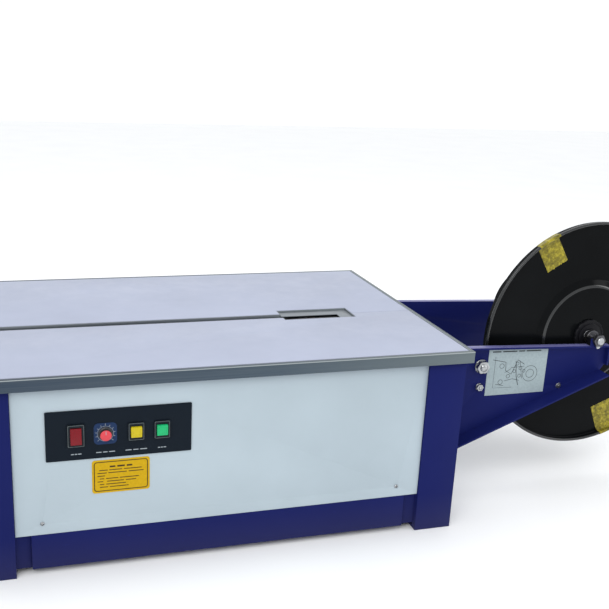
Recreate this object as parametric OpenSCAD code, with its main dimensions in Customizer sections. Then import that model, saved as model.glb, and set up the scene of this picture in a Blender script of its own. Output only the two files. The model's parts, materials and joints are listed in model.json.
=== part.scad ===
// Low-table semi automatic strapping machine with a strap reel at its right end.
// Millimetres, +Z up, the machine's length along X, the operator stands on the -Y side.
// The origin is on the floor, below the centre of the machine's overall box.

/* [Table] */
// Length of the table top, trim included
table_l = 900; // [850:10:1200]
// Depth of the table top, trim included
table_w = 620; // [560:2:760]
// Height of the table surface above the floor
table_h = 362; // [340:1:450]
// Height of the stainless edge trim
trim_h = 22; // [20:1:30]
// Width of the trim's top lip
trim_lip = 7; // [5:0.5:12]
// Thickness of the trim's sheet
trim_t = 1.5; // [1:0.5:2]
// Thickness of the table plates' sheet
plate_t = 2.5; // [2:0.5:4]
// Gap between a table plate and the trim, or between the two plates
plate_gap = 2; // [1.8:0.1:3]

/* [Strap path] */
// Centre of the strap's path, measured from the table's centreline
slot_y = -41; // [-60:1:0]
// Width of the strap channel
slot_w = 24; // [18:1:30]
// Length of the sealing head's opening
head_l = 150; // [140:2:170]
// From the table's right end to the middle of the head's opening
head_back = 213; // [205:1:240]
// Opening in front of the strap's centre
head_front = 26; // [25:1:30]
// Opening behind the strap's centre
head_rear = 37; // [36:1:45]

/* [Cabinet] */
// From the table's ends to the legs' outer sides
inset_x = 9; // [5:1:30]
// From the table's front to the legs' front faces
inset_y = 10; // [10:1:30]
// Width of a leg's front face
leg_w = 74; // [60:1:90]
// Depth of a leg's side face
leg_d = 62; // [50:1:80]
// Sheet thickness of legs and rails
sheet_t = 2.5; // [2:0.5:4]
// Height of the bottom rail
rail_h = 65; // [50:1:90]
// Gap under the bottom rail
rail_clear = 11; // [6:1:30]
// Diameter of the hole in each foot plate
foot_hole_d = 13; // [9:1:17]

/* [Controls] */
// Width of the black control plate
control_w = 242; // [230:2:280]
// Height of the black control plate
control_h = 88; // [80:1:110]
// From the left leg's inner edge to the control plate
control_from_leg = 54; // [30:1:80]
// From the table surface down to the control plate's top
control_drop = 64.5; // [50:0.5:80]
// Side of the square push buttons
button_s = 18.5; // [16:0.5:19]
// Travel of the push buttons
button_travel = 4; // [2:0.5:5]

/* [Reel and its arms] */
// Outer diameter of the reel's removable front flange
reel_d = 486; // [440:2:500]
// How far the fixed rear flange stands out beyond the core
rear_lip = 10; // [6:1:60]
// From the table's right end to the reel's axis
reel_reach = 360; // [340:2:420]
// From the table surface down to the reel's axis
reel_drop = 39.5; // [30:0.5:60]
// Inside width of the reel between its flanges
reel_w = 190; // [160:2:200]
// Diameter of the core that the strap coil sits on
core_d = 200; // [180:2:210]
// Diameter of the fixed axle
axle_d = 16; // [14:1:18]
// From the table's centreline to the front arm's outer face
arm_front = 170; // [165:1:190]
// From the table's centreline to the rear arm's inner face
arm_rear = 160; // [130:1:190]
// Sheet thickness of the arms
arm_t = 4; // [3:0.5:6]
// Width of the arms' top lip, sheet included
arm_lip = 16; // [14:1:24]
// Width of the arms' lower flange, sheet included
arm_shelf = 38; // [20:1:40]

/* [Hidden] */

fit = 0.08;           // clearance on a radius of a turning pair, or on each side of a sliding one
seat_gap = 0.3;       // gap between a resting plate and its seat
bend_t = 1.5;         // sheet of panels
$fn = 64;

// overall box
overall_l = table_l + reel_reach + reel_d / 2;
x_left = -overall_l / 2;
x_end = x_left + table_l;
x_reel = x_end + reel_reach;
z_reel = table_h - reel_drop;
y_front = -table_w / 2;

// cabinet
cab_x0 = x_left + inset_x;
cab_x1 = x_end - inset_x;
cab_y = table_w / 2 - inset_y;
cab_top = table_h - trim_h;
frame_t = 5;
frame_w = 42;
ledge_set = 12;
ledge_w = 26;
foot_t = 5;
panel_set = 4;
rail_set = 5;
rail_flange = 25;
rail_top = rail_clear + rail_h;
foot_inset_x = leg_w / 2;
foot_inset_y = leg_d / 2;
floor_z = rail_clear + sheet_t;
base_t = 3;
base_top = floor_z + base_t;

// table plates
skirt_gap = 1.2;
plate_drop = trim_h - frame_t - skirt_gap;
plate_edge_t = 2;
plate_y = table_w / 2 - trim_lip - plate_gap;
plate_x0 = x_left + trim_lip + plate_gap;
plate_x1 = x_end - trim_lip - plate_gap;
pivot_in = 4.5;
pivot_down = 4;
pivot_d = 4;
seam = 0.5;

// head
x_head = x_end - head_back;
head_x0 = x_head - head_l / 2;
head_x1 = x_head + head_l / 2;
wall = 1.5;
side_plate_t = 6;
side_plate_w = 110;
anvil_w = 28;
anvil_t = 3.5;
block_top = table_h - 12;
block_h = 90;
block_w = 44;
gripper_x = 20;
gripper_y = 16;
gripper_pitch = 42;
gripper_travel = 9.5;
gripper_top = block_top - gripper_travel - seat_gap;
cam_z = table_h - 162;
cam_r = 25;
cam_offset = 4;
cam_w = 14;
cam_shaft_d = 18;
heater_travel = 22;

// drive
pulley_y = slot_y - 78;
pulley_w = 16;
belt_t = 4;
gear_w = 72;
gear_d = 96;
gear_h = 120;
gear_x = x_head - head_l / 2 - side_plate_t - gear_w / 2 - 6;
input_z = cam_z - 42;
big_pulley_r = 36;
small_pulley_r = 18;
motor_x = gear_x - 170;
motor_r = 58;
motor_l = 190;
motor_z = base_top + motor_r + 8;
shaft_d = 14;

// feed unit
feed_x = head_x1 + 50;
feed_r = 26;
pinch_r = 18;
feed_z = table_h - 112;
feed_frame_low = feed_z - 100;
feed_frame_top = feed_z + 80;
feed_face = slot_y + 22;

// controls
face_y = -cab_y + panel_set;
control_t = 2;
control_x0 = cab_x0 + leg_w + control_from_leg;
control_z1 = table_h - control_drop;
control_zc = control_z1 - control_h / 2;
plate_face = face_y - control_t;
rocker_x = control_x0 + 49;
dial_x = control_x0 + 97;
reset_x = control_x0 + 148;
feed_btn_x = control_x0 + 191.5;
bezel_t = 3;
bezel_w = 27;
bezel_h = 32;
label_t = 0.4;

// reel
flange_t = 2;
rim_r = 3;
rim_depth = 16;
step_in_r = core_d / 2 + 5;
step_out_r = step_in_r + 14;
step_h = 9;
hub_r = 26;
hub_len = 16;
reel_y0 = slot_y - reel_w / 2 - flange_t;
reel_y1 = slot_y + reel_w / 2 + flange_t;
core_t = 3;

// arms
arm_root_x = cab_x1 - ledge_set + arm_t;
arm_tip_x = x_end + reel_reach + 35;
arm_tab = 40;
arm_root_top = cab_top - 16.5;
arm_fall = 0.036;
arm_root_bottom = table_h - 272;
arm_tip_h = 56;
rear_arm_tip_h = 86;
shaft_x = x_end + 100;
upper_z = table_h - 85;
lower_z = table_h - 130;
upper_d = 16;
lower_d = 8;
roller_r = 15;
roller_l = 60;
collar_t = 8;
saddle_w = 34;

function arm_top(x) = arm_root_top - arm_fall * (x - arm_root_x);
tip_top = arm_top(arm_tip_x);
function arm_bottom(x, tip_h) = arm_root_bottom + (tip_top - tip_h - arm_root_bottom)
    * (x - arm_root_x) / (arm_tip_x - arm_root_x);

// ---- helpers ----
module box(x0, x1, y0, y1, z0, z1) {
    translate([x0, y0, z0]) cube([x1 - x0, y1 - y0, z1 - z0]);
}

// A cylinder along +Y, from y0 to y1.
module rod_y(x, z, r, y0, y1) {
    translate([x, y1, z]) rotate([90, 0, 0]) cylinder(r = r, h = y1 - y0);
}

// A cylinder along +X, from x0 to x1.
module rod_x(y, z, r, x0, x1) {
    translate([x0, y, z]) rotate([0, 90, 0]) cylinder(r = r, h = x1 - x0);
}

// A hexagon along Y, across_flats wide.
module hex_y(x, z, across_flats, y0, y1) {
    translate([x, y1, z]) rotate([90, 0, 0]) cylinder(d = across_flats / cos(30), h = y1 - y0, $fn = 6);
}

module ring_y(x, z, r_out, r_in, y0, y1) {
    difference() {
        rod_y(x, z, r_out, y0, y1);
        rod_y(x, z, r_in, y0 - 1, y1 + 1);
    }
}

// A plate in the XZ plane with an outline, from y0 to y1.
module plate_xz(points, y0, y1) {
    translate([0, y1, 0]) rotate([90, 0, 0]) linear_extrude(y1 - y0) polygon(points);
}

// ---- cabinet ----
// A folded sheet leg, with its outer corner at the origin and the cabinet towards +X and +Y.
module leg_shape() {
    h = cab_top;
    difference() {
        union() {
            linear_extrude(h) polygon([
                [0, 0], [leg_w, 0], [leg_w, ledge_set], [leg_w + ledge_w, ledge_set],
                [leg_w + ledge_w, ledge_set + sheet_t], [leg_w - sheet_t, ledge_set + sheet_t],
                [leg_w - sheet_t, sheet_t], [sheet_t, sheet_t], [sheet_t, leg_d - sheet_t],
                [ledge_set + sheet_t, leg_d - sheet_t], [ledge_set + sheet_t, leg_d + ledge_w],
                [ledge_set, leg_d + ledge_w], [ledge_set, leg_d], [0, leg_d]]);
            box(0, leg_w, 0, leg_d, 0, foot_t);
        }
        translate([foot_inset_x, foot_inset_y, -1]) cylinder(d = foot_hole_d, h = foot_t + 2);
        // the ledges stop short of the floor
        box(leg_w, leg_w + ledge_w + 1, 0, leg_d, -1, rail_clear);
        box(-1, leg_w, leg_d, leg_d + ledge_w + 1, -1, rail_clear);
    }
}

module leg(side_x, side_y) {
    color("midnightblue")
    translate([side_x < 0 ? cab_x0 : cab_x1, side_y * cab_y, 0])
    mirror([side_x > 0 ? 1 : 0, 0, 0]) mirror([0, side_y > 0 ? 1 : 0, 0]) leg_shape();
}

module front_legs() {
    for (side = [-1, 1]) leg(side, -1);
}

module rear_legs() {
    for (side = [-1, 1]) leg(side, 1);
}

// A channel rail along X with its web on the -Y side.
module rail_shape(length) {
    translate([0, 0, rail_clear]) rotate([90, 0, 90]) linear_extrude(length) polygon([
        [0, 0], [rail_flange, 0], [rail_flange, sheet_t], [sheet_t, sheet_t],
        [sheet_t, rail_h - sheet_t], [rail_flange, rail_h - sheet_t], [rail_flange, rail_h], [0, rail_h]]);
}

module bottom_rails() {
    long_x0 = cab_x0 + leg_w + ledge_w;
    long_l = cab_x1 - leg_w - ledge_w - long_x0;
    short_l = 2 * (cab_y - leg_d - ledge_w);
    color("midnightblue") {
        for (s = [0, 1]) mirror([0, s, 0]) translate([long_x0, -cab_y + rail_set, 0]) rail_shape(long_l);
        translate([cab_x0 + rail_set, short_l / 2, 0]) rotate([0, 0, -90]) rail_shape(short_l);
        translate([cab_x1 - rail_set, -short_l / 2, 0]) rotate([0, 0, 90]) rail_shape(short_l);
    }
}

// A cross-shaped sheet between the four legs, on the rails' lower flanges.
module base_plate() {
    inset_long = leg_w + ledge_w + 2;
    inset_short = leg_d + ledge_w + 2;
    to_web = rail_set + sheet_t;
    color("silver") union() {
        box(cab_x0 + inset_long, cab_x1 - inset_long, -cab_y + to_web, cab_y - to_web, floor_z, base_top);
        box(cab_x0 + to_web, cab_x1 - to_web, -cab_y + inset_short, cab_y - inset_short, floor_z, base_top);
    }
}

// Four flat bars on top of the legs, which carry the trim and the table plates.
module table_frame() {
    z0 = cab_top;
    z1 = cab_top + frame_t;
    x0 = x_left + trim_t;
    x1 = x_end - trim_t;
    y1 = table_w / 2 - trim_t;
    color("midnightblue") {
        for (s = [0, 1]) mirror([0, s, 0]) box(x0, x1, -y1, -y1 + frame_w, z0, z1);
        box(x0, x0 + frame_w, -y1 + frame_w, y1 - frame_w, z0, z1);
        box(x1 - frame_w, x1, -y1 + frame_w, y1 - frame_w, z0, z1);
    }
}

// One length of the edge trim along X, with its outer face on the -Y side.
module trim_shape(length) {
    rotate([90, 0, 90]) linear_extrude(length) polygon([
        [0, -trim_h], [trim_t, -trim_h], [trim_t, -trim_t], [trim_lip, -trim_t], [trim_lip, 0], [0, 0]]);
}

module table_trim() {
    side = table_w - 2 * trim_lip;
    color("lightgray") {
        for (s = [0, 1]) mirror([0, s, 0]) translate([x_left, y_front, table_h]) trim_shape(table_l);
        translate([x_left, side / 2, table_h]) rotate([0, 0, -90]) trim_shape(side);
        translate([x_end, -side / 2, table_h]) rotate([0, 0, 90]) trim_shape(side);
    }
}

// A tray-shaped cover panel in the XZ plane, with its face at y = 0 and its edges turned towards +Y.
module tray_panel(length, height) {
    depth = ledge_set - panel_set;
    difference() {
        cube([length, depth, height]);
        translate([bend_t, bend_t, bend_t]) cube([length - 2 * bend_t, depth, height - 2 * bend_t]);
    }
}

panel_gap = 0.5;
long_panel_l = cab_x1 - cab_x0 - 2 * leg_w - 2 * panel_gap;
short_panel_l = 2 * (cab_y - leg_d - panel_gap);
panel_z0 = rail_top + panel_gap;
panel_height = cab_top - panel_gap - panel_z0;
screw_in_x = 45;
screw_up = 21;

module front_panel() {
    window = 9;
    color("aliceblue") difference() {
        translate([cab_x0 + leg_w + panel_gap, face_y, panel_z0]) tray_panel(long_panel_l, panel_height);
        box(control_x0 + window, control_x0 + control_w - window, face_y - 1, face_y + bend_t + 1,
            control_z1 - control_h + window, control_z1 - window);
        panel_screw_holes();
    }
}

louvre_n = 7;
louvre_l = 120;
louvre_pitch = 16;
gland_x = cab_x1 - leg_w - 90;
gland_z = 130;
gland_d = 18;

module rear_panel() {
    z_mid = panel_z0 + panel_height / 2;
    color("aliceblue") difference() {
        translate([cab_x1 - leg_w - panel_gap, -face_y, panel_z0]) rotate([0, 0, 180])
            tray_panel(long_panel_l, panel_height);
        for (side = [-1, 1], i = [0 : louvre_n - 1])
            box(x_left + table_l / 2 + side * 150 - louvre_l / 2, x_left + table_l / 2 + side * 150 + louvre_l / 2,
                -face_y - bend_t - 1, -face_y + 1,
                z_mid + (i - (louvre_n - 1) / 2) * louvre_pitch - 2,
                z_mid + (i - (louvre_n - 1) / 2) * louvre_pitch + 2);
        rod_y(gland_x, gland_z, gland_d / 2, -face_y - bend_t - 1, -face_y + 1);
        mirror([0, 1, 0]) panel_screw_holes();
    }
}

module left_panel() {
    color("aliceblue") translate([cab_x0 + panel_set, short_panel_l / 2, panel_z0]) rotate([0, 0, -90])
        tray_panel(short_panel_l, panel_height);
}

inlet_w = 40;
inlet_h = 24;
inlet_z = lower_z - roller_r + inlet_h / 2;

// The flat steel plate that closes the right end and carries the reel's arms.
module right_end_plate() {
    x0 = cab_x1 - ledge_set;
    color("aliceblue") difference() {
        box(x0, x0 + arm_t, -short_panel_l / 2, short_panel_l / 2, panel_z0, cab_top - panel_gap);
        box(x0 - 1, x0 + arm_t + 1, slot_y - inlet_w / 2, slot_y + inlet_w / 2,
            inlet_z - inlet_h / 2, inlet_z + inlet_h / 2);
        arm_bolt_holes(root_bolt_d / 2 + fit);
    }
}

screw_r = 3;
screw_x = [cab_x0 + leg_w + screw_in_x, cab_x1 - leg_w - screw_in_x];

// Clearance holes of the front panel's two screws; the rear panel's are their mirror image.
module panel_screw_holes() {
    for (x = screw_x) rod_y(x, rail_top + screw_up, screw_r / 2 + fit, face_y - 1, face_y + bend_t + 1);
}

module pan_screw(r, length) {
    union() {
        rod_y(0, 0, r, -2.4, 0);
        rod_y(0, 0, r / 2, 0, length);
    }
}

module panel_screws() {
    color("white") for (s = [0, 1], x = screw_x)
        mirror([0, s, 0]) translate([x, face_y, rail_top + screw_up]) pan_screw(screw_r, bend_t);
}

module cable_gland() {
    color("dimgray") difference() {
        union() {
            hex_y(gland_x, gland_z, 26, -face_y, -face_y + 8);
            rod_y(gland_x, gland_z, gland_d / 2 - fit, -face_y - 8, -face_y);
            rod_y(gland_x, gland_z, 9.5, -face_y + 8, -face_y + 14);
            hex_y(gland_x, gland_z, 24, -face_y - bend_t - 6, -face_y - bend_t);
        }
        rod_y(gland_x, gland_z, 5, -face_y - 10, -face_y + 16);
    }
}

// ---- table plates ----
// A folded table plate with its seam side towards +Y, for a seam at y = inner.
module plate_shape(inner, notch, slot_edge) {
    difference() {
        box(plate_x0, plate_x1, -plate_y, inner, table_h - plate_drop, table_h);
        // hollow under the top sheet
        box(plate_x0 + plate_edge_t, plate_x1 - plate_edge_t, -plate_y + plate_edge_t,
            notch - plate_edge_t, table_h - plate_drop - 1, table_h - plate_t);
        // the strap channel's side
        box(plate_x0 - 1, head_x0 + 1, slot_edge, inner + 1, table_h - plate_drop - 1, table_h + 1);
        // the head's opening
        box(head_x0 - seam, head_x1 + seam, notch, inner + 1, table_h - plate_drop - 1, table_h + 1);
        for (x = [plate_x0 - 1, plate_x1 - plate_edge_t - 1])
            rod_x(-plate_y + pivot_in, table_h - pivot_down, pivot_d / 2 + fit, x, x + plate_edge_t + 2);
    }
}

module front_table_plate() {
    color("lavender") plate_shape(slot_y - seam, slot_y - head_front - seam, slot_y - slot_w / 2 - seam);
}

module rear_table_plate() {
    color("lavender") mirror([0, 1, 0])
        plate_shape(-slot_y - seam, -slot_y - head_rear - seam, -slot_y - slot_w / 2 - seam);
}

// Pivot pins at the outer corners of both plates, each in a block that stands on the table frame.
module table_pivot_pins() {
    y = plate_y - pivot_in;
    block_w = 8;
    block_l = plate_x0 - 0.5 - (x_left + trim_t);
    pin_l = plate_x0 + plate_edge_t - (x_left + trim_t);
    color("silver") for (e = [0, 1], s = [0, 1])
        translate([e == 0 ? x_left + trim_t : x_end - trim_t, 0, 0]) mirror([e, 0, 0]) mirror([0, s, 0]) union() {
            box(0, block_l, -y - block_w / 2, -y + block_w / 2, cab_top + frame_t, table_h - trim_t);
            rod_x(-y, table_h - pivot_down, pivot_d / 2, 0, pin_l);
        }
}

// The stainless channel that the strap runs in: a floor strip with a side strip seam-welded along each edge.
module strap_channel() {
    z0 = cab_top + frame_t;
    x0 = x_left + trim_lip;
    weld = 0.02;
    color("lightgray") {
        box(x0, head_x0, slot_y - slot_w / 2, slot_y + slot_w / 2, z0, z0 + wall);
        for (y = [slot_y - slot_w / 2, slot_y + slot_w / 2 - wall])
            box(x0, head_x0, y, y + wall, z0 + wall + weld, table_h - 0.5);
    }
}

module head_surround() {
    z0 = cab_top + frame_t;
    y0 = slot_y - head_front;
    y1 = slot_y + head_rear;
    color("lightgray") difference() {
        box(head_x0, head_x1, y0, y1, z0, table_h - 0.5);
        box(head_x0 + wall, head_x1 - wall, y0 + wall, y1 - wall, z0 - 1, table_h + 1);
        // the strap channel opens into the head
        box(head_x0 - 1, head_x0 + wall + 1, slot_y - slot_w / 2 + wall, slot_y + slot_w / 2 - wall,
            z0 + wall, table_h + 1);
    }
}

// The L-shaped stainless plate in the head's opening.
module head_cover_plate() {
    z1 = table_h - 3;
    x0 = head_x0 + wall;
    x1 = head_x1 - wall;
    y0 = slot_y - head_front + wall;
    y1 = slot_y + head_rear - wall;
    color("silver") linear_extrude_at(z1 - wall, wall) polygon([
        [x0, slot_y + 6], [x1 - 28, slot_y + 6], [x1 - 28, y0], [x1, y0], [x1, y1], [x0, y1]]);
}

module linear_extrude_at(z, h) {
    translate([0, 0, z]) linear_extrude(h) children();
}

// ---- controls ----
module rounded_plate(x0, x1, z0, z1, r, y0, y1) {
    translate([0, y1, 0]) rotate([90, 0, 0]) linear_extrude(y1 - y0)
        translate([x0 + r, z0 + r]) offset(r = r, $fn = 32) square([x1 - x0 - 2 * r, z1 - z0 - 2 * r]);
}

module control_plate() {
    color("black") difference() {
        rounded_plate(control_x0, control_x0 + control_w, control_z1 - control_h, control_z1, 2, plate_face, face_y);
        for (x = [reset_x, feed_btn_x])
            box(x - button_s / 2 - 1, x + button_s / 2 + 1, plate_face - 1, face_y + 1,
                control_zc - button_s / 2 - 1, control_zc + button_s / 2 + 1);
        box(rocker_x - 11, rocker_x + 11, plate_face - 1, face_y + 1, control_zc - 16, control_zc + 16);
        rod_y(dial_x, control_zc, 4, plate_face - 1, face_y + 1);
    }
}

// Bodies of the four switches behind the control plate.
module switch_bodies() {
    deep = face_y + 26;
    color("dimgray") {
        for (x = [reset_x, feed_btn_x])
            box(x - button_s / 2 - 3, x + button_s / 2 + 3, face_y + button_travel + 4, deep,
                control_zc - button_s / 2 - 3, control_zc + button_s / 2 + 3);
        for (x = [reset_x, feed_btn_x], s = [-1, 1])
            box(x + s * (button_s / 2 + 2) - 1, x + s * (button_s / 2 + 2) + 1, face_y, face_y + button_travel + 4,
                control_zc - 6, control_zc + 6);
        box(rocker_x - 13, rocker_x + 13, face_y + 9, deep, control_zc - 17, control_zc + 17);
        for (s = [-1, 1])
            box(rocker_x + s * 12 - 1, rocker_x + s * 12 + 1, face_y, face_y + 9, control_zc - 6, control_zc + 6);
        difference() {
            rod_y(dial_x, control_zc, 12, face_y, face_y + 20);
            rod_y(dial_x, control_zc, 3 + fit, face_y - 1, face_y + 16);
        }
    }
}

module dial_plate() {
    color("darkslateblue") difference() {
        rounded_plate(dial_x - 19, dial_x + 19, control_zc - 19, control_zc + 19, 8, plate_face - 0.8, plate_face);
        rod_y(dial_x, control_zc, 4, plate_face - 2, plate_face + 1);
    }
}

rocker_w = 18;
rocker_h = 27;
rocker_pin_y = plate_face - bezel_t / 2;

// Frames around the rocker and the two push buttons.
module switch_bezels() {
    color("dimgray") {
        for (x = [reset_x, feed_btn_x]) difference() {
            rounded_plate(x - bezel_w / 2, x + bezel_w / 2, control_zc - bezel_h / 2, control_zc + bezel_h / 2, 2,
                plate_face - bezel_t, plate_face);
            box(x - button_s / 2 - 0.4, x + button_s / 2 + 0.4, plate_face - bezel_t - 1, plate_face + 1,
                control_zc - button_s / 2 - 0.4, control_zc + button_s / 2 + 0.4);
        }
        difference() {
            rounded_plate(rocker_x - 14, rocker_x + 14, control_zc - 20, control_zc + 20, 2,
                plate_face - bezel_t, plate_face);
            box(rocker_x - rocker_w / 2 - 0.5, rocker_x + rocker_w / 2 + 0.5, plate_face - bezel_t - 1,
                plate_face + 1, control_zc - rocker_h / 2 - 1.5, control_zc + rocker_h / 2 + 1.5);
            rod_x(rocker_pin_y, control_zc, 1 + fit, rocker_x - rocker_w / 2 - 3, rocker_x + rocker_w / 2 + 3);
        }
    }
}

// The rocker leans with its upper half pressed in.
module power_rocker() {
    y = rocker_pin_y;
    color("firebrick") union() {
        translate([rocker_x - rocker_w / 2, y, control_zc]) rotate([0, -90, 180]) linear_extrude(rocker_w)
            polygon([[-rocker_h / 2 + 0.6, -6], [-rocker_h / 2, 7], [0, 3.4], [rocker_h / 2, 2.2],
                [rocker_h / 2 - 0.6, -6], [0, -8]]);
        rod_x(y, control_zc, 1, rocker_x - rocker_w / 2 - 2.5, rocker_x + rocker_w / 2 + 2.5);
    }
}

knob_r = 12;
module length_knob() {
    y0 = plate_face - 0.8 - seat_gap;
    color("firebrick") union() {
        rod_y(dial_x, control_zc, knob_r, y0 - 7, y0);
        rod_y(dial_x, control_zc, 8.5, y0 - 10.5, y0 - 7);
        rod_y(dial_x, control_zc, 3, y0, face_y + 14);
    }
}

module push_button(x) {
    rounded_plate(x - button_s / 2, x + button_s / 2, control_zc - button_s / 2, control_zc + button_s / 2, 1.5,
        plate_face - bezel_t - button_travel - 0.5, face_y + 3.5);
}

module reset_button() {
    color("gold") push_button(reset_x);
}

module feed_button() {
    color("limegreen") push_button(feed_btn_x);
}

label_w = 97;
label_h = 61;
module caution_label() {
    x0 = control_x0 + 74;
    z1 = control_z1 - control_h - 5;
    color("orange") rounded_plate(x0, x0 + label_w, z1 - label_h, z1, 5, face_y - label_t, face_y);
}

// ---- reel arms ----
root_bolt_d = 10;
root_bolt_z = [arm_root_bottom + 40, arm_root_top - 40];
front_tab_y = -arm_front - arm_tab / 2;
rear_tab_y = arm_rear + arm_tab / 2;

module arm_bolt_holes(r) {
    for (y = [front_tab_y, rear_tab_y], z = root_bolt_z)
        rod_x(y, z, r, cab_x1 - ledge_set - 8, arm_root_x + 12);
}

// A folded arm with its web from y = 0 to arm_t and its flanges towards -Y.
module arm_shape(tip_h) {
    corner = 12;
    tl = [arm_root_x, arm_top(arm_root_x)];
    tr = [arm_tip_x, tip_top];
    br = [arm_tip_x, tip_top - tip_h + corner];
    bc = [arm_tip_x - corner, arm_bottom(arm_tip_x - corner, tip_h)];
    bl = [arm_root_x, arm_root_bottom];
    down = [0, -arm_t];
    back = [-arm_t, 0];
    union() {
        plate_xz([tl, tr, br, bc, bl], 0, arm_t);
        plate_xz([tl, tr, tr + down, tl + down], arm_t - arm_lip, 0);
        plate_xz([bl, bc, bc - down, bl - down], arm_t - arm_shelf, 0);
        plate_xz([tr, br, br + back, tr + back], arm_t - arm_lip, 0);
        // the tab that is bolted to the cabinet's end plate
        box(arm_root_x, arm_root_x + arm_t, -arm_tab, 0, arm_root_bottom + arm_t, arm_root_top - arm_t);
        saddle(arm_t - arm_lip, arm_t - 1);
    }
}

module arm_holes(y0, y1) {
    rod_y(shaft_x, upper_z, upper_d / 2 + fit, y0, y1);
    rod_y(shaft_x, lower_z, lower_d / 2 + fit, y0, y1);
}

module front_reel_arm() {
    color("midnightblue") difference() {
        translate([0, -arm_front, 0]) arm_shape(arm_tip_h);
        arm_holes(-arm_front - 1, -arm_front + arm_t + 1);
        rod_y(brake_x, brake_z, brake_screw_d / 2 + fit, -arm_front - 1, -arm_front + arm_t + 1);
        arm_bolt_holes(root_bolt_d / 2 + fit);
    }
}

module rear_reel_arm() {
    color("midnightblue") difference() {
        mirror([0, 1, 0]) translate([0, -arm_rear - arm_t, 0]) arm_shape(rear_arm_tip_h);
        arm_holes(arm_rear - 1, arm_rear + arm_t + 1);
        arm_bolt_holes(root_bolt_d / 2 + fit);
    }
}

module hex_bolt_x(y, z, d, grip_x0, grip_x1) {
    union() {
        translate([grip_x1, y, z]) rotate([0, 90, 0]) cylinder(d = 1.6 * d / cos(30), h = 0.65 * d, $fn = 6);
        rod_x(y, z, d / 2, grip_x0 - 8, grip_x1);
        translate([grip_x0 - 0.8 * d, y, z]) rotate([0, 90, 0])
            cylinder(d = 1.6 * d / cos(30), h = 0.8 * d, $fn = 6);
    }
}

module arm_bolts() {
    color("silver") for (y = [front_tab_y, rear_tab_y], z = root_bolt_z)
        hex_bolt_x(y, z, root_bolt_d, cab_x1 - ledge_set, arm_root_x + arm_t);
}

// A block with an open U seat for the axle, standing on an arm's top edge.
module saddle(y0, y1) {
    x0 = x_reel - saddle_w / 2;
    x1 = x_reel + saddle_w / 2;
    difference() {
        plate_xz([[x0, arm_top(x0)], [x1, arm_top(x1)], [x1, z_reel + 4], [x0, z_reel + 4]], y0, y1);
        rod_y(x_reel, z_reel, axle_d / 2 + fit, y0 - 1, y1 + 1);
        box(x_reel - axle_d / 2 - fit, x_reel + axle_d / 2 + fit, y0 - 1, y1 + 1, z_reel, z_reel + 10);
    }
}

saddle_front = -arm_front + arm_t - arm_lip;
saddle_rear = arm_rear + arm_lip;
axle_nut_t = 8;
axle_out = axle_nut_t + 4;
module reel_axle() {
    color("silver") rod_y(x_reel, z_reel, axle_d / 2, saddle_front - axle_out, saddle_rear + axle_out);
}

// Outer nuts beside the saddles, and the spacers that keep the hub in its place along the axle.
module axle_nuts() {
    r = axle_d / 2;
    hub_play = 0.5;
    color("dimgray") {
        for (y = [saddle_front - axle_nut_t, saddle_rear]) difference() {
            hex_y(x_reel, z_reel, 1.5 * axle_d, y, y + axle_nut_t);
            rod_y(x_reel, z_reel, r, y - 1, y + axle_nut_t + 1);
        }
        ring_y(x_reel, z_reel, r + 7, r, -arm_front + arm_t + seat_gap, hub_y0 - hub_play);
        ring_y(x_reel, z_reel, r + 7, r, hub_y1 + hub_play, arm_rear - seat_gap);
    }
}

// ---- reel ----
hub_y0 = reel_y0 - hub_len;
hub_y1 = reel_y1 + hub_len;

// Half section of a pressed flange: radius against distance outwards from the strap's side.
// Its rim is turned outwards and ends in a rolled bead.
module flange_profile() {
    depth = rim_depth;
    wall_r = reel_d / 2 - rim_r;
    translate([wall_r, depth - rim_r]) circle(r = rim_r);
    polygon([[hub_r, step_h], [step_in_r, step_h], [step_out_r, 0], [wall_r + flange_t / 2, 0],
        [wall_r + flange_t / 2, depth - rim_r], [wall_r - flange_t / 2, depth - rim_r],
        [wall_r - flange_t / 2, flange_t], [step_out_r + 1, flange_t], [step_in_r + 1, step_h + flange_t],
        [hub_r, step_h + flange_t]]);
}

module front_flange() {
    color("black") translate([x_reel, reel_y0 + flange_t, z_reel]) rotate([90, 0, 0])
        rotate_extrude($fn = 180) flange_profile();
}

// A flat disc with a rolled bead.
module rear_flange() {
    bead_r = core_d / 2 + rear_lip - rim_r;
    color("black") translate([x_reel, reel_y1 - flange_t, z_reel]) rotate([-90, 0, 0]) rotate_extrude($fn = 180) {
        translate([bead_r, rim_r]) circle(r = rim_r);
        translate([hub_r, 0]) square([bead_r - hub_r, flange_t]);
    }
}

module reel_core() {
    color("dimgray") ring_y(x_reel, z_reel, core_d / 2, core_d / 2 - core_t, reel_y0 + flange_t, reel_y1 - flange_t);
}

// The hub tube with its two bushes, which turns on the axle, and the spider that carries the core.
module reel_hub() {
    y0 = reel_y0 + flange_t;
    y1 = reel_y1 - flange_t;
    arm_r = core_d / 2 - core_t;
    color("dimgray") difference() {
        union() {
            rod_y(x_reel, z_reel, hub_r, hub_y0, hub_y1);
            for (a = [0 : 60 : 300]) translate([x_reel, 0, z_reel]) rotate([0, a, 0])
                translate([hub_r - 2, y0 + 20, -2]) cube([arm_r - hub_r + 2 - 0.2, y1 - y0 - 40, 4]);
        }
        rod_y(x_reel, z_reel, axle_d / 2 + 0.06, hub_y0 - 1, hub_y1 + 1);
    }
}

// A knurled ring nut that clamps the removable front flange to the hub.
module hub_clamp_nut() {
    color("black") difference() {
        rod_y(x_reel, z_reel, hub_r + 9, reel_y0 - step_h - 6, reel_y0 - step_h);
        rod_y(x_reel, z_reel, hub_r, reel_y0 - step_h - 7, reel_y0 - step_h + 1);
    }
}

tape_w = 50;
tape_t = 0.4;
tape_in = 68;
tape_angles = [121, 292];

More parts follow.
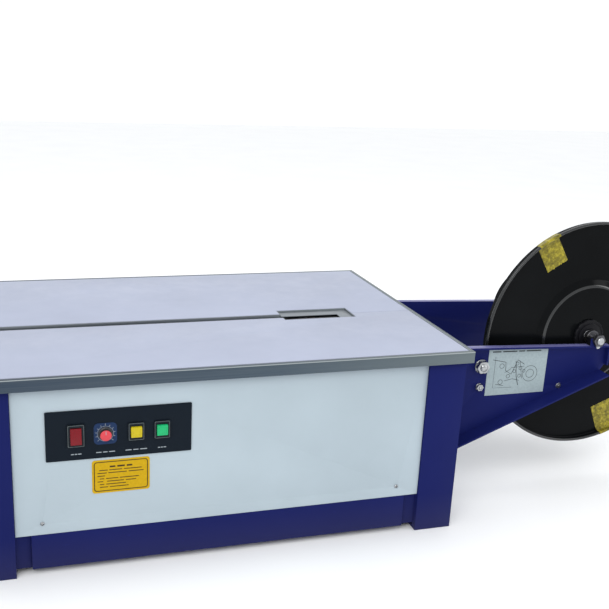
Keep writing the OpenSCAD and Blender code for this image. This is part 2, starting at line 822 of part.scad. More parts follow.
module tape_strip(a) {
    translate([x_reel, 0, z_reel]) rotate([0, -a, 0])
        box(reel_d / 2 - tape_in, reel_d / 2 - 2 * rim_r - 3, reel_y0 - tape_t, reel_y0, -tape_w / 2, tape_w / 2);
}

module packing_tape() {
    color("gold") for (a = tape_angles) tape_strip(a);
}

// ---- guide rollers and brake ----
module guide_shafts() {
    color("silver") {
        union() {
            rod_y(shaft_x, upper_z, upper_d / 2, -arm_front - 12, arm_rear + arm_t + 14);
            hex_y(shaft_x, upper_z, 24, -arm_front - 10, -arm_front);
            hex_y(shaft_x, upper_z, 24, arm_rear + arm_t, arm_rear + arm_t + 12);
        }
        union() {
            rod_y(shaft_x, lower_z, lower_d / 2, -arm_front - 9, arm_rear + arm_t + 10);
            hex_y(shaft_x, lower_z, 13, -arm_front - 7, -arm_front);
            hex_y(shaft_x, lower_z, 13, arm_rear + arm_t, arm_rear + arm_t + 8);
        }
        // collars that keep the roller in line with the strap's path
        for (y = [slot_y - roller_l / 2 - collar_t - 0.5, slot_y + roller_l / 2 + 0.5])
            ring_y(shaft_x, upper_z, upper_d / 2 + 5, upper_d / 2, y, y + collar_t);
    }
}

module guide_roller() {
    color("whitesmoke") difference() {
        union() {
            rod_y(shaft_x, upper_z, roller_r, slot_y - roller_l / 2, slot_y + roller_l / 2);
            for (y = [slot_y - roller_l / 2, slot_y + roller_l / 2 - 3])
                rod_y(shaft_x, upper_z, roller_r + 3, y, y + 3);
        }
        rod_y(shaft_x, upper_z, upper_d / 2 + fit, slot_y - roller_l, slot_y + roller_l);
    }
}

brake_x = x_end + 288;
brake_z = table_h - 140;
brake_screw_d = 4;
brake_z0 = brake_z - 7;
brake_z1 = brake_z + 30;
// A leaf spring on the front arm with a felt pad that rubs on the reel's flange.
module reel_brake() {
    y0 = -arm_front + arm_t;
    leaf = 2;
    pad_t = 8;
    pad_y = reel_y0 - seat_gap;
    pad_x0 = brake_x - 73;
    pad_x1 = brake_x - 53;
    leaf_y = pad_y - pad_t;
    color("dimgray") {
        union() {
            translate([0, 0, brake_z0]) linear_extrude(brake_z1 - brake_z0) polygon([
                [brake_x + 10, y0], [brake_x + 10, y0 + leaf], [brake_x - 10, y0 + leaf], [pad_x1, leaf_y],
                [pad_x0, leaf_y], [pad_x0, leaf_y - leaf], [pad_x1, leaf_y - leaf], [brake_x - 10, y0]]);
            rod_y(brake_x, brake_z, brake_screw_d / 2, -arm_front, y0);
            rod_y(brake_x, brake_z, brake_screw_d, -arm_front - 3, -arm_front);
        }
        box(pad_x0, pad_x1, leaf_y, pad_y, brake_z1 - 22, brake_z1);
    }
}

sheet_label_w = 137;
sheet_label_h = 100;
module threading_label() {
    x0 = x_end + 115;
    z1 = arm_top(x0) - arm_t - 1;
    tilt = arm_fall * sheet_label_w;
    color("honeydew") plate_xz([[x0, z1], [x0 + sheet_label_w, z1 - tilt],
        [x0 + sheet_label_w, z1 - tilt / 2 - sheet_label_h], [x0, z1 - tilt / 2 - sheet_label_h]],
        -arm_front - label_t, -arm_front);
}

// ---- sealing head and drive ----
module head_side_plates() {
    color("slategray") for (x = [head_x0 - side_plate_t + wall, head_x1 - wall]) difference() {
        box(x, x + side_plate_t, slot_y - side_plate_w / 2, slot_y + side_plate_w / 2, base_top, cab_top + frame_t);
        rod_x(slot_y, cam_z, cam_shaft_d / 2 + fit, x - 1, x + side_plate_t + 1);
    }
}

heater_z = gripper_top + 1;

// Upper face of the strap's support, with a guide for each gripper and a way in for the heater.
module head_block() {
    y0 = slot_y - block_w / 2;
    color("gray") difference() {
        box(head_x0 + wall, head_x1 - wall, y0, y0 + block_w, block_top - block_h, block_top);
        for (i = [-1 : 1])
            box(x_head + i * gripper_pitch - gripper_x / 2 - fit, x_head + i * gripper_pitch + gripper_x / 2 + fit,
                slot_y - gripper_y / 2 - fit, slot_y + gripper_y / 2 + fit, block_top - block_h - 1, block_top + 1);
        box(x_head - gripper_x / 2 - 3, x_head + gripper_x / 2 + 3, y0 - 1, y0 + block_w + 1,
            heater_z - seat_gap, block_top + 1);
    }
}

// One of the three pieces that a cam lifts against the anvil.
module gripper(i) {
    x = x_head + i * gripper_pitch;
    color("silver") box(x - gripper_x / 2, x + gripper_x / 2, slot_y - gripper_y / 2, slot_y + gripper_y / 2,
        cam_z + cam_r + cam_offset + seat_gap, gripper_top);
}

module left_gripper() {
    gripper(-1);
}

module middle_press() {
    gripper(0);
}

module right_gripper() {
    gripper(1);
}

module slide_anvil() {
    y0 = slot_y - head_front + wall + 1;
    color("dimgray") box(head_x0 + wall + 1, head_x1 - wall - 1, y0, y0 + anvil_w, block_top + seat_gap,
        block_top + seat_gap + anvil_t);
}

module heater_blade() {
    y0 = slot_y + gripper_y / 2 + 2;
    y1 = slot_y + block_w / 2 + heater_travel + 4;
    z0 = heater_z;
    color("sienna") union() {
        box(x_head - gripper_x / 2, x_head + gripper_x / 2, y0, y1, z0, z0 + 3);
        box(x_head - gripper_x / 2, x_head + gripper_x / 2, y1 - 3, y1, z0 - 40, z0);
    }
}

cam_x0 = gear_x + gear_w / 2 - 10;
module camshaft() {
    color("slategray") union() {
        rod_x(slot_y, cam_z, cam_shaft_d / 2, cam_x0, head_x1 + side_plate_t + 6);
        for (i = [-1 : 1]) rotate_about_x(slot_y, cam_z, 90 * (i + 1))
            rod_x(slot_y + cam_offset, cam_z, cam_r, x_head + i * gripper_pitch - cam_w / 2,
                x_head + i * gripper_pitch + cam_w / 2);
    }
}

module rotate_about_x(y, z, a) {
    translate([0, y, z]) rotate([a, 0, 0]) translate([0, -y, -z]) children();
}

module gearbox() {
    y0 = slot_y - gear_d / 2;
    x0 = gear_x - gear_w / 2;
    x1 = gear_x + gear_w / 2;
    color("gray") union() {
        difference() {
            union() {
                box(x0, x1, y0, y0 + gear_d, cam_z - gear_h / 2 - 20, cam_z + gear_h / 2 - 20);
                rod_x(slot_y, cam_z, 28, x1, head_x0 - side_plate_t + wall);
            }
            rod_x(slot_y, cam_z, cam_shaft_d / 2 + fit, cam_x0 - 1, head_x0);
            rod_y(gear_x, input_z, shaft_d / 2 + fit, y0 - 1, y0 + 20);
        }
        box(x0 + 8, x1 - 8, y0 + 10, y0 + gear_d - 10, base_top, cam_z - gear_h / 2 - 20);
    }
}

module pulley(x, z, r) {
    union() {
        rod_y(x, z, r, pulley_y - pulley_w / 2, pulley_y + pulley_w / 2);
        rod_y(x, z, r + 5, pulley_y - pulley_w / 2 - 2, pulley_y - pulley_w / 2);
        rod_y(x, z, r + 5, pulley_y + pulley_w / 2, pulley_y + pulley_w / 2 + 2);
    }
}

module gearbox_pulley() {
    color("silver") union() {
        pulley(gear_x, input_z, big_pulley_r);
        rod_y(gear_x, input_z, shaft_d / 2, pulley_y, slot_y - gear_d / 2 + 18);
    }
}

motor_y0 = pulley_y + pulley_w / 2 + 14;
module drive_motor() {
    color("steelblue") union() {
        difference() {
            union() {
                rod_y(motor_x, motor_z, motor_r, motor_y0, motor_y0 + motor_l);
                rod_y(motor_x, motor_z, motor_r * 0.45, motor_y0 - 6, motor_y0);
            }
            rod_y(motor_x, motor_z, shaft_d / 2 + fit, motor_y0 - 7, motor_y0 + 20);
        }
        box(motor_x - motor_r * 0.8, motor_x + motor_r * 0.8, motor_y0 + 25, motor_y0 + motor_l - 45,
            base_top, motor_z - motor_r * 0.7);
        box(motor_x - 30, motor_x + 30, motor_y0 + 40, motor_y0 + 110, motor_z + motor_r * 0.8,
            motor_z + motor_r + 22);
    }
}

module motor_pulley() {
    color("silver") union() {
        pulley(motor_x, motor_z, small_pulley_r);
        rod_y(motor_x, motor_z, shaft_d / 2, pulley_y, motor_y0 + 18);
    }
}

// The flat belt around both pulleys, as a thin loop.
module drive_belt() {
    y0 = pulley_y - pulley_w / 2 + 1;
    y1 = pulley_y + pulley_w / 2 - 1;
    color("black") difference() {
        belt_body(seat_gap + belt_t, y0, y1);
        belt_body(seat_gap, y0 - 1, y1 + 1);
    }
}

module belt_body(extra, y0, y1) {
    hull() {
        rod_y(gear_x, input_z, big_pulley_r + extra, y0, y1);
        rod_y(motor_x, motor_z, small_pulley_r + extra, y0, y1);
    }
}

feed_shaft_r = 6;
strap_t = 1;
pinch_z = feed_z + feed_r + strap_t + pinch_r;
feed_frame_t = 6;
feed_w = 24;

// The plate that carries the feed roller and the pinch roller.
module feed_frame() {
    color("slategray") difference() {
        box(head_x1 + side_plate_t - wall, cab_x1 - ledge_set - 12, feed_face, feed_face + feed_frame_t,
            feed_frame_low, feed_frame_top);
        for (z = [feed_z, pinch_z]) rod_y(feed_x, z, feed_shaft_r + fit, feed_face - 1, feed_face + feed_frame_t + 1);
    }
}

module driven_roller(z, r) {
    union() {
        rod_y(feed_x, z, r, slot_y - feed_w / 2, slot_y + feed_w / 2);
        rod_y(feed_x, z, feed_shaft_r, slot_y + feed_w / 2, feed_face + feed_frame_t + 4);
    }
}

module feed_roller() {
    color("silver") driven_roller(feed_z, feed_r);
}

module pinch_roller() {
    color("dimgray") driven_roller(pinch_z, pinch_r);
}

// The tall sheet box below the feed roller that holds a loop of loose strap.
module strap_pool() {
    pool_x0 = head_x1 + side_plate_t + 4;
    pool_x1 = cab_x1 - rail_set - rail_flange - 4;
    pool_y = 20;
    color("lightgray") difference() {
        box(pool_x0, pool_x1, slot_y - pool_y, slot_y + pool_y, base_top, feed_frame_low);
        box(pool_x0 + wall, pool_x1 - wall, slot_y - pool_y + wall, slot_y + pool_y - wall, base_top + wall,
            feed_frame_low + 1);
    }
}

// The steel box with the electronics, on the base plate.
module control_box() {
    x0 = cab_x0 + leg_w + ledge_w + 12;
    color("whitesmoke") union() {
        box(x0, x0 + 140, -60, 120, base_top, base_top + 96);
        box(x0 - 3, x0 + 143, -63, 123, base_top + 96, base_top + 100);
    }
}

front_legs();
rear_legs();
bottom_rails();
base_plate();
table_frame();
table_trim();
front_panel();
rear_panel();
left_panel();
right_end_plate();
panel_screws();
cable_gland();
strap_channel();
head_surround();
head_cover_plate();
front_table_plate();
rear_table_plate();
table_pivot_pins();
control_plate();
switch_bodies();
dial_plate();
switch_bezels();
caution_label();
power_rocker();
length_knob();
reset_button();
feed_button();
front_reel_arm();
rear_reel_arm();
arm_bolts();
reel_axle();
axle_nuts();
front_flange();
rear_flange();
reel_core();
reel_hub();
hub_clamp_nut();
packing_tape();
threading_label();
guide_shafts();
guide_roller();
reel_brake();
head_side_plates();
head_block();
left_gripper();
middle_press();
right_gripper();
slide_anvil();
heater_blade();
camshaft();
gearbox();
gearbox_pulley();
drive_motor();
motor_pulley();
drive_belt();
feed_frame();
feed_roller();
pinch_roller();
strap_pool();
control_box();
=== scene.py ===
"""Low-table strapping machine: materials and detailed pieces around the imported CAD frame, in metres."""
import json
import math
import bmesh
import bpy
from mathutils import Matrix, Vector, noise


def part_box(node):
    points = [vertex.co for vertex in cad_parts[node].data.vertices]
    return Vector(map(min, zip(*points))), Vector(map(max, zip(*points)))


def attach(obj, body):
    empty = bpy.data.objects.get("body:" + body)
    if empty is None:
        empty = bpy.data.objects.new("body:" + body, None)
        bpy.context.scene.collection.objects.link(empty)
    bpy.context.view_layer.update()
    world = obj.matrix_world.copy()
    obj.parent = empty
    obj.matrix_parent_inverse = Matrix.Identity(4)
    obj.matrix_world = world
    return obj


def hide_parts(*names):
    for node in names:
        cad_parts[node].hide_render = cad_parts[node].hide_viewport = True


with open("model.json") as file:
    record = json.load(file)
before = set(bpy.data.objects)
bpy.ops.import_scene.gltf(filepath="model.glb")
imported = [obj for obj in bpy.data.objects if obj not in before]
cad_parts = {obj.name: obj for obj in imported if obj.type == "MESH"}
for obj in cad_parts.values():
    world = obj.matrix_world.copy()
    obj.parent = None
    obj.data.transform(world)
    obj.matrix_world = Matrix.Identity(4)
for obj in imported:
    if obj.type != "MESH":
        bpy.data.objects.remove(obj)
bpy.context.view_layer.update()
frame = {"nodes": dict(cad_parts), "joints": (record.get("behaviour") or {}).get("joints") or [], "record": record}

NODES = frame["nodes"]
BODY_OF = {n: b for b, names in frame["record"]["behaviour"]["bodies"].items() for n in names}
SLOT_OF = {s["node"]: s["material_slot"] for s in frame["record"]["subparts"]}
MM = 0.001


# ---------------------------------------------------------------- camera, floor and light
def make_camera():
    """Stands at the photograph's viewpoint: yaw towards +X, pitch down and roll are in radians."""
    yaw, pitch, roll = 0.292969, 0.287379, 0.041619
    viewpoint = (-0.6484, -1.6403, 0.8673)
    forward = Vector((math.sin(yaw) * math.cos(pitch), math.cos(yaw) * math.cos(pitch), -math.sin(pitch)))
    level = Vector((math.cos(yaw), -math.sin(yaw), 0))
    over = level.cross(forward)
    right = level * math.cos(roll) + over * math.sin(roll)
    up = over * math.cos(roll) - level * math.sin(roll)
    data = bpy.data.cameras.new("camera")
    data.sensor_width = 36
    data.lens = 51.51
    data.shift_x = 0.0582
    data.shift_y = 0.0107
    data.clip_end = 60
    cam = bpy.data.objects.new("camera", data)
    bpy.context.scene.collection.objects.link(cam)
    turn = Matrix((right, up, -forward)).transposed().to_4x4()
    cam.matrix_world = Matrix.Translation(viewpoint) @ turn
    bpy.context.scene.camera = cam


def area_light(name, place, target, size, power, colour=(1, 1, 1)):
    """A softbox at place that faces target; size is its width and height."""
    data = bpy.data.lights.new(name, "AREA")
    data.shape = "RECTANGLE"
    data.size, data.size_y = size
    data.energy = power
    data.color = colour
    lamp = bpy.data.objects.new(name, data)
    bpy.context.scene.collection.objects.link(lamp)
    lamp.location = place
    lamp.rotation_euler = (Vector(target) - Vector(place)).to_track_quat("-Z", "Y").to_euler()


def make_lights():
    world = bpy.data.worlds.new("studio")
    bpy.context.scene.world = world
    world.use_nodes = True
    sky = world.node_tree.nodes["Background"]
    sky.inputs["Color"].default_value = (0.97, 0.985, 1.0, 1)
    sky.inputs["Strength"].default_value = 1.04
    area_light("key_softbox", (-1.6, -2.6, 2.6), (-0.2, 0, 0.3), (2.4, 1.8), 44, (1.0, 0.99, 0.98))
    area_light("top_softbox", (0.4, 0.6, 3.0), (0, 0, 0.3), (2.6, 2.6), 24, (0.96, 0.97, 1.0))
    area_light("right_strip", (2.6, -1.6, 1.5), (0.4, -0.1, 0.3), (0.7, 2.0), 12)


def make_floor():
    """A plain pale floor, far wider than the machine."""
    mesh = bpy.data.meshes.new("floor")
    half = 9.0
    corners = [(-half, -half, 0), (half, -half, 0), (half, half, 0), (-half, half, 0)]
    mesh.from_pydata(corners, [], [(0, 1, 2, 3)])
    floor = bpy.data.objects.new("floor", mesh)
    bpy.context.scene.collection.objects.link(floor)
    mat, tree, shader = new_material("studio_floor")
    grain = noise_node(tree, 3.0, 4)
    ramp(tree, grain, shader.inputs["Base Color"], [(0.3, (0.93, 0.935, 0.94)), (0.7, (0.96, 0.963, 0.965))])
    shader.inputs["Roughness"].default_value = 0.75
    floor.data.materials.append(mat)


# ---------------------------------------------------------------- material helpers
def new_material(name, metallic=0.0, specular=0.5, coat=0.0, coat_roughness=0.03):
    """A Principled material, with its tree and its shader."""
    mat = bpy.data.materials.new(name)
    mat.use_nodes = True
    shader = mat.node_tree.nodes["Principled BSDF"]
    for socket, value in (("Metallic", metallic), ("Specular IOR Level", specular), ("Coat Weight", coat),
                          ("Coat Roughness", coat_roughness)):
        shader.inputs[socket].default_value = value
    return mat, mat.node_tree, shader


def object_coords(tree, scale=(1, 1, 1), offset=(0, 0, 0)):
    """Object coordinates in metres, scaled and shifted."""
    coords = tree.nodes.new("ShaderNodeTexCoord")
    mapping = tree.nodes.new("ShaderNodeMapping")
    mapping.inputs["Scale"].default_value = scale
    mapping.inputs["Location"].default_value = offset
    tree.links.new(coords.outputs["Object"], mapping.inputs["Vector"])
    return mapping.outputs["Vector"]


def axis_share(tree, axis, low, span):
    """Runs from 0 at low to 1 at low + span, along one axis of the object."""
    split = tree.nodes.new("ShaderNodeSeparateXYZ")
    place = object_coords(tree, (1 / span,) * 3, (-low / span,) * 3)
    tree.links.new(place, split.inputs["Vector"])
    return split.outputs[axis]


def noise_node(tree, scale, detail=3, stretch=(1, 1, 1), rough=0.55):
    """Noise in the object's coordinates; a large stretch makes it finer along that axis."""
    tex = tree.nodes.new("ShaderNodeTexNoise")
    tex.inputs["Scale"].default_value = scale
    tex.inputs["Detail"].default_value = detail
    tex.inputs["Roughness"].default_value = rough
    tree.links.new(object_coords(tree, stretch), tex.inputs["Vector"])
    return tex.outputs["Fac"]


def ramp(tree, source, target, stops):
    """Maps a 0 to 1 value to colours, or to grey levels when a stop holds a single number."""
    node = tree.nodes.new("ShaderNodeValToRGB")
    while len(node.color_ramp.elements) < len(stops):
        node.color_ramp.elements.new(0.5)
    for element, (place, colour) in zip(node.color_ramp.elements, stops):
        rgb = (colour,) * 3 if isinstance(colour, float) else colour
        element.position = place
        element.color = (*rgb, 1)
    tree.links.new(source, node.inputs["Fac"])
    if target is not None:
        tree.links.new(node.outputs["Color"], target)
    return node.outputs["Color"]


def roughen(tree, shader, source, low, high, start=0.3, stop=0.7):
    """Lets the roughness drift from low to high while source goes from start to stop."""
    ramp(tree, source, shader.inputs["Roughness"], [(start, low), (stop, high)])


def bump(tree, shader, height, strength, distance):
    """Adds one more bump layer on top of those that the shader already has."""
    node = tree.nodes.new("ShaderNodeBump")
    node.inputs["Strength"].default_value = strength
    node.inputs["Distance"].default_value = distance
    tree.links.new(height, node.inputs["Height"])
    if shader.inputs["Normal"].is_linked:
        tree.links.new(shader.inputs["Normal"].links[0].from_socket, node.inputs["Normal"])
    tree.links.new(node.outputs["Normal"], shader.inputs["Normal"])


def mix(tree, factor, a, b):
    """A colour mix; a and b are sockets or colours, and factor is a socket."""
    node = tree.nodes.new("ShaderNodeMix")
    node.data_type = "RGBA"
    tree.links.new(factor, node.inputs["Factor"])
    for key, value in (("A", a), ("B", b)):
        socket = [i for i in node.inputs if i.name == key and i.type == "RGBA"][0]
        if isinstance(value, tuple):
            socket.default_value = (*value, 1)
        else:
            tree.links.new(value, socket)
    return [o for o in node.outputs if o.type == "RGBA"][0]


def brush_lines(tree, along):
    """Fine lines that run along one axis: 0 for X, 1 for Y."""
    return noise_node(tree, 1.0, 4, tuple(3.0 if i == along else 420.0 for i in range(3)), 0.7)


def shade(colour, factor):
    return tuple(min(1.0, c * factor) for c in colour)


def tones(colour, dark, light, start=0.3, stop=0.7):
    """Ramp stops from a darker to a lighter shade of one colour."""
    return [(start, shade(colour, dark)), (stop, shade(colour, light))]


# ---------------------------------------------------------------- materials
def powder_coat(name, colour, roughness=0.42, peel=0.18, scuff=0.0, floor_dirt=0.0, gloss=0.5):
    """Sprayed paint: orange peel, a slow drift in tone, scuffs, and dirt that fades out above the floor."""
    mat, tree, shader = new_material(name, specular=gloss)
    drift = noise_node(tree, 4.0, 5)
    base = ramp(tree, drift, None, tones(colour, 0.93, 1.06))
    if scuff:
        marks = noise_node(tree, 55, 8, (1, 1, 3), 0.72)
        spots = ramp(tree, marks, None, [(0.62, 0.0), (0.70, scuff)])
        base = mix(tree, spots, base, shade(colour, 2.1) if max(colour) < 0.3 else shade(colour, 0.72))
    if floor_dirt:
        low = ramp(tree, axis_share(tree, "Z", 0, 75 * MM), None, [(0.0, floor_dirt), (1.0, 0.0)])
        base = mix(tree, low, base, (0.11, 0.10, 0.09))
    tree.links.new(base, shader.inputs["Base Color"])
    roughen(tree, shader, noise_node(tree, 26, 6), roughness - 0.06, roughness + 0.08)
    bump(tree, shader, noise_node(tree, 620, 2), peel, 0.0004)
    bump(tree, shader, noise_node(tree, 7, 2), 0.05, 0.004)
    return mat


def brushed_steel(name, colour, along, roughness=0.34):
    """Steel with fine lines along one axis, and faint stains."""
    mat, tree, shader = new_material(name, metallic=0.85)
    lines = brush_lines(tree, along)
    stains = ramp(tree, noise_node(tree, 9, 5), None, [(0.45, 0.0), (0.75, 0.35)])
    tone = ramp(tree, lines, None, tones(colour, 0.80, 1.12, 0.25, 0.75))
    tree.links.new(mix(tree, stains, tone, shade(colour, 0.72)), shader.inputs["Base Color"])
    roughen(tree, shader, lines, roughness - 0.08, roughness + 0.12, 0.2, 0.8)
    bump(tree, shader, lines, 0.16, 0.0002)
    return mat


def trim_steel(name, along):
    """The edge trim: brushed lines, a painted reflection that darkens it towards the table's left end, and a
    painted highlight below its top fold.
    """
    mat, tree, shader = new_material(name, metallic=0.8)
    low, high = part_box("table_trim")
    # Painted reflection: the tone runs from dark at the table's left end to light at its right end.
    tone = ramp(tree, axis_share(tree, "X", low.x, high.x - low.x), None,
                [(0.01, (0.024, 0.040, 0.065)), (0.59, (0.055, 0.078, 0.103)), (1.0, (0.125, 0.153, 0.162))])
    lines = brush_lines(tree, along)
    streaks = ramp(tree, lines, None, [(0.3, 0.0), (0.75, 0.28)])
    body = mix(tree, streaks, tone, (0.15, 0.175, 0.19))
    # Painted highlight: a pale band just below the trim's top fold.
    fold = 5 * MM
    painted_fold_highlight = ramp(tree, axis_share(tree, "Z", high.z - fold, fold), None,
                  [(0.55, 0.0), (0.64, 0.75), (0.90, 0.75), (0.97, 0.0)])
    tree.links.new(mix(tree, painted_fold_highlight, body, (0.42, 0.46, 0.46)), shader.inputs["Base Color"])
    roughen(tree, shader, lines, 0.26, 0.42, 0.2, 0.8)
    bump(tree, shader, lines, 0.16, 0.0002)
    bump(tree, shader, noise_node(tree, 6, 2), 0.06, 0.003)
    return mat


def plated(name, colour=(0.41, 0.42, 0.43), roughness=0.22):
    """Bright zinc plate with a faint milky spangle."""
    mat, tree, shader = new_material(name, metallic=1.0)
    cloud = noise_node(tree, 130, 5)
    ramp(tree, cloud, shader.inputs["Base Color"], tones(colour, 0.78, 1.12))
    roughen(tree, shader, cloud, roughness - 0.06, roughness + 0.14)
    bump(tree, shader, noise_node(tree, 900, 3), 0.08, 0.0002)
    return mat


def machined(name, colour, roughness=0.36):
    """Milled and oiled steel: short tool marks and darker oil."""
    mat, tree, shader = new_material(name, metallic=0.9)
    marks = noise_node(tree, 1.0, 3, (900, 60, 260), 0.6)
    oil = noise_node(tree, 24, 6)
    tone = ramp(tree, marks, None, tones(colour, 0.84, 1.1))
    film = ramp(tree, oil, None, [(0.5, 0.0), (0.72, 0.55)])
    tree.links.new(mix(tree, film, tone, (0.10, 0.085, 0.06)), shader.inputs["Base Color"])
    roughen(tree, shader, oil, roughness + 0.08, roughness - 0.14, 0.4, 0.7)
    bump(tree, shader, marks, 0.12, 0.0002)
    return mat


def gloss_enamel(name, colour, gloss=0.05, coat=0.0):
    """Black stove enamel on pressed sheet: gloss, slow waves and a little dust."""
    mat, tree, shader = new_material(name, specular=gloss, coat=coat, coat_roughness=0.06)
    dust = noise_node(tree, 480, 3, rough=0.8)
    specks = ramp(tree, dust, None, [(0.66, 0.0), (0.74, 0.12)])
    base = ramp(tree, noise_node(tree, 5, 4), None, tones(colour, 0.75, 1.35))
    tree.links.new(mix(tree, specks, base, (0.10, 0.10, 0.095)), shader.inputs["Base Color"])
    roughen(tree, shader, noise_node(tree, 13, 6, rough=0.7), 0.10, 0.24, 0.3, 0.75)
    bump(tree, shader, noise_node(tree, 11, 3), 0.10, 0.004)
    bump(tree, shader, noise_node(tree, 520, 2), 0.05, 0.0003)
    return mat


def moulded(name, colour, roughness=0.3, grain=0.10, coat=0.0, gloss=0.5):
    """Moulded plastic with a fine texture and slight tone changes."""
    mat, tree, shader = new_material(name, specular=gloss, coat=coat, coat_roughness=0.1)
    ramp(tree, noise_node(tree, 60, 4), shader.inputs["Base Color"], tones(colour, 0.88, 1.1))
    roughen(tree, shader, noise_node(tree, 150, 4), roughness - 0.05, roughness + 0.08)
    bump(tree, shader, noise_node(tree, 1500, 2), grain, 0.0002)
    return mat


def lens_plastic(name, colour, painted_glow):
    """A coloured lens with a ribbed diffuser that shows through it, and a faint painted glow of its own colour."""
    mat, tree, shader = new_material(name, specular=0.2, coat=0.12, coat_roughness=0.05)
    ribs = tree.nodes.new("ShaderNodeTexWave")
    ribs.bands_direction = "Z"
    ribs.inputs["Scale"].default_value = 180
    ribs.inputs["Distortion"].default_value = 0.4
    tree.links.new(object_coords(tree), ribs.inputs["Vector"])
    cloud = noise_node(tree, 90, 4)
    tone = ramp(tree, ribs.outputs["Fac"], None, tones(colour, 0.66, 1.12, 0.1, 0.9))
    haze = ramp(tree, cloud, None, [(0.4, 0.0), (0.8, 0.4)])
    tree.links.new(mix(tree, haze, tone, shade(colour, 0.6)), shader.inputs["Base Color"])
    roughen(tree, shader, cloud, 0.16, 0.28)
    # Painted glow: the lens gives off light though there is no lamp inside it.
    shader.inputs["Emission Color"].default_value = (*colour, 1)
    shader.inputs["Emission Strength"].default_value = painted_glow
    bump(tree, shader, ribs.outputs["Fac"], 0.12, 0.0003)
    return mat


def paper(name, colour, roughness=0.5, gloss=0.12):
    """Printed film: fibre mottling and a few soft creases."""
    mat, tree, shader = new_material(name, specular=gloss)
    ramp(tree, noise_node(tree, 210, 6), shader.inputs["Base Color"], tones(colour, 0.90, 1.05))
    roughen(tree, shader, noise_node(tree, 40, 4), roughness - 0.08, roughness + 0.1)
    bump(tree, shader, noise_node(tree, 22, 3), 0.12, 0.001)
    return mat


def adhesive_tape(name, colour):
    """Yellow tape with wrinkles and trapped air."""
    mat, tree, shader = new_material(name, specular=0.2, coat=0.15, coat_roughness=0.12)
    air = noise_node(tree, 95, 6, rough=0.7)
    ramp(tree, air, shader.inputs["Base Color"],
         [(0.34, shade(colour, 0.35)), (0.52, colour), (0.66, shade(colour, 1.9))])
    roughen(tree, shader, air, 0.14, 0.36)
    bump(tree, shader, noise_node(tree, 60, 5, rough=0.65), 0.35, 0.0015)
    return mat


def cast_metal(name, colour, roughness=0.55):
    """Painted casting with a sandy skin and chips."""
    mat, tree, shader = new_material(name, metallic=0.15)
    skin = noise_node(tree, 240, 5, rough=0.7)
    base = ramp(tree, noise_node(tree, 12, 5), None, tones(colour, 0.85, 1.12))
    chips = ramp(tree, noise_node(tree, 75, 7, rough=0.75), None, [(0.68, 0.0), (0.72, 0.7)])
    tree.links.new(mix(tree, chips, base, (0.26, 0.25, 0.24)), shader.inputs["Base Color"])
    roughen(tree, shader, skin, roughness - 0.1, roughness + 0.15)
    bump(tree, shader, skin, 0.35, 0.0008)
    return mat


def rubber(name, colour=(0.02, 0.02, 0.021)):
    """Matt black rubber with pale dust."""
    mat, tree, shader = new_material(name)
    dust = noise_node(tree, 70, 6)
    ramp(tree, dust, shader.inputs["Base Color"], [(0.35, colour), (0.8, shade(colour, 2.6))])
    roughen(tree, shader, dust, 0.62, 0.85)
    bump(tree, shader, noise_node(tree, 700, 3), 0.3, 0.0004)
    return mat


NAVY = (0.0075, 0.0115, 0.088)
MATERIALS = {
    "blue_paint": powder_coat("navy_powder_coat", NAVY, 0.38, 0.16, scuff=0.25, floor_dirt=0.12, gloss=0.06),
    "panel_paint": powder_coat("pale_powder_coat", (0.37, 0.44, 0.485), 0.46, 0.14, scuff=0.10, gloss=0.35),
    "table_paint": powder_coat("table_powder_coat", (0.345, 0.375, 0.475), 0.44, 0.12, scuff=0.16,
                               gloss=0.35),
    "trim_steel": brushed_steel("brushed_steel_x", (0.26, 0.285, 0.31), 0),
    "zinc": plated("zinc_plate"),
    "machined_steel": machined("machined_steel", (0.42, 0.43, 0.45)),
    "reel_black": gloss_enamel("black_enamel", (0.0035, 0.004, 0.0045)),
    "core_black": powder_coat("satin_black", (0.006, 0.006, 0.008), 0.40, 0.2, scuff=0.3, gloss=0.12),
    "tape": adhesive_tape("yellow_tape", (0.21, 0.175, 0.012)),
    "label_white": paper("printed_paper", (0.31, 0.375, 0.395)),
    "label_yellow": paper("yellow_film", (0.50, 0.31, 0.004), 0.42),
    "control_black": powder_coat("black_control_film", (0.006, 0.010, 0.016), 0.36, 0.25, scuff=0.12,
                                 gloss=0.06),
    "dial_blue": paper("dial_film", (0.012, 0.03, 0.085), 0.4),
    "bezel_plastic": moulded("bezel_plastic", (0.008, 0.012, 0.016), 0.34, gloss=0.12),
    "rocker_red": lens_plastic("rocker_lens", (0.17, 0.003, 0.008), 0.10),
    "knob_plastic": moulded("knob_black", (0.018, 0.018, 0.02), 0.34),
    "button_yellow": lens_plastic("yellow_lens", (0.52, 0.42, 0.008), 0.10),
    "button_green": lens_plastic("green_lens", (0.01, 0.40, 0.14), 0.10),
    "dark_plastic": moulded("dark_plastic", (0.035, 0.035, 0.04), 0.5, 0.25),
    "nylon": moulded("turned_nylon", (0.68, 0.67, 0.62), 0.42, 0.2),
    "cast": cast_metal("grey_casting", (0.20, 0.21, 0.22)),
    "motor_blue": cast_metal("motor_casting", (0.07, 0.15, 0.24)),
    "belt_rubber": rubber("belt_rubber"),
    "spring_steel": machined("blackened_steel", (0.10, 0.10, 0.11), 0.42),
    "heater_steel": machined("heat_tinted_steel", (0.36, 0.22, 0.13), 0.4),
}
TRIM_X = trim_steel("trim_steel_x", 0)
TRIM_Y = trim_steel("trim_steel_y", 1)
# A paler copy of the trim's steel for the short sides' top faces: a painted highlight.
TRIM_TOP_HIGHLIGHT = brushed_steel("trim_steel_top_painted_highlight", (0.50, 0.54, 0.60), 1)
SURROUND_STEEL = brushed_steel("surround_steel", (0.185, 0.21, 0.225), 0)
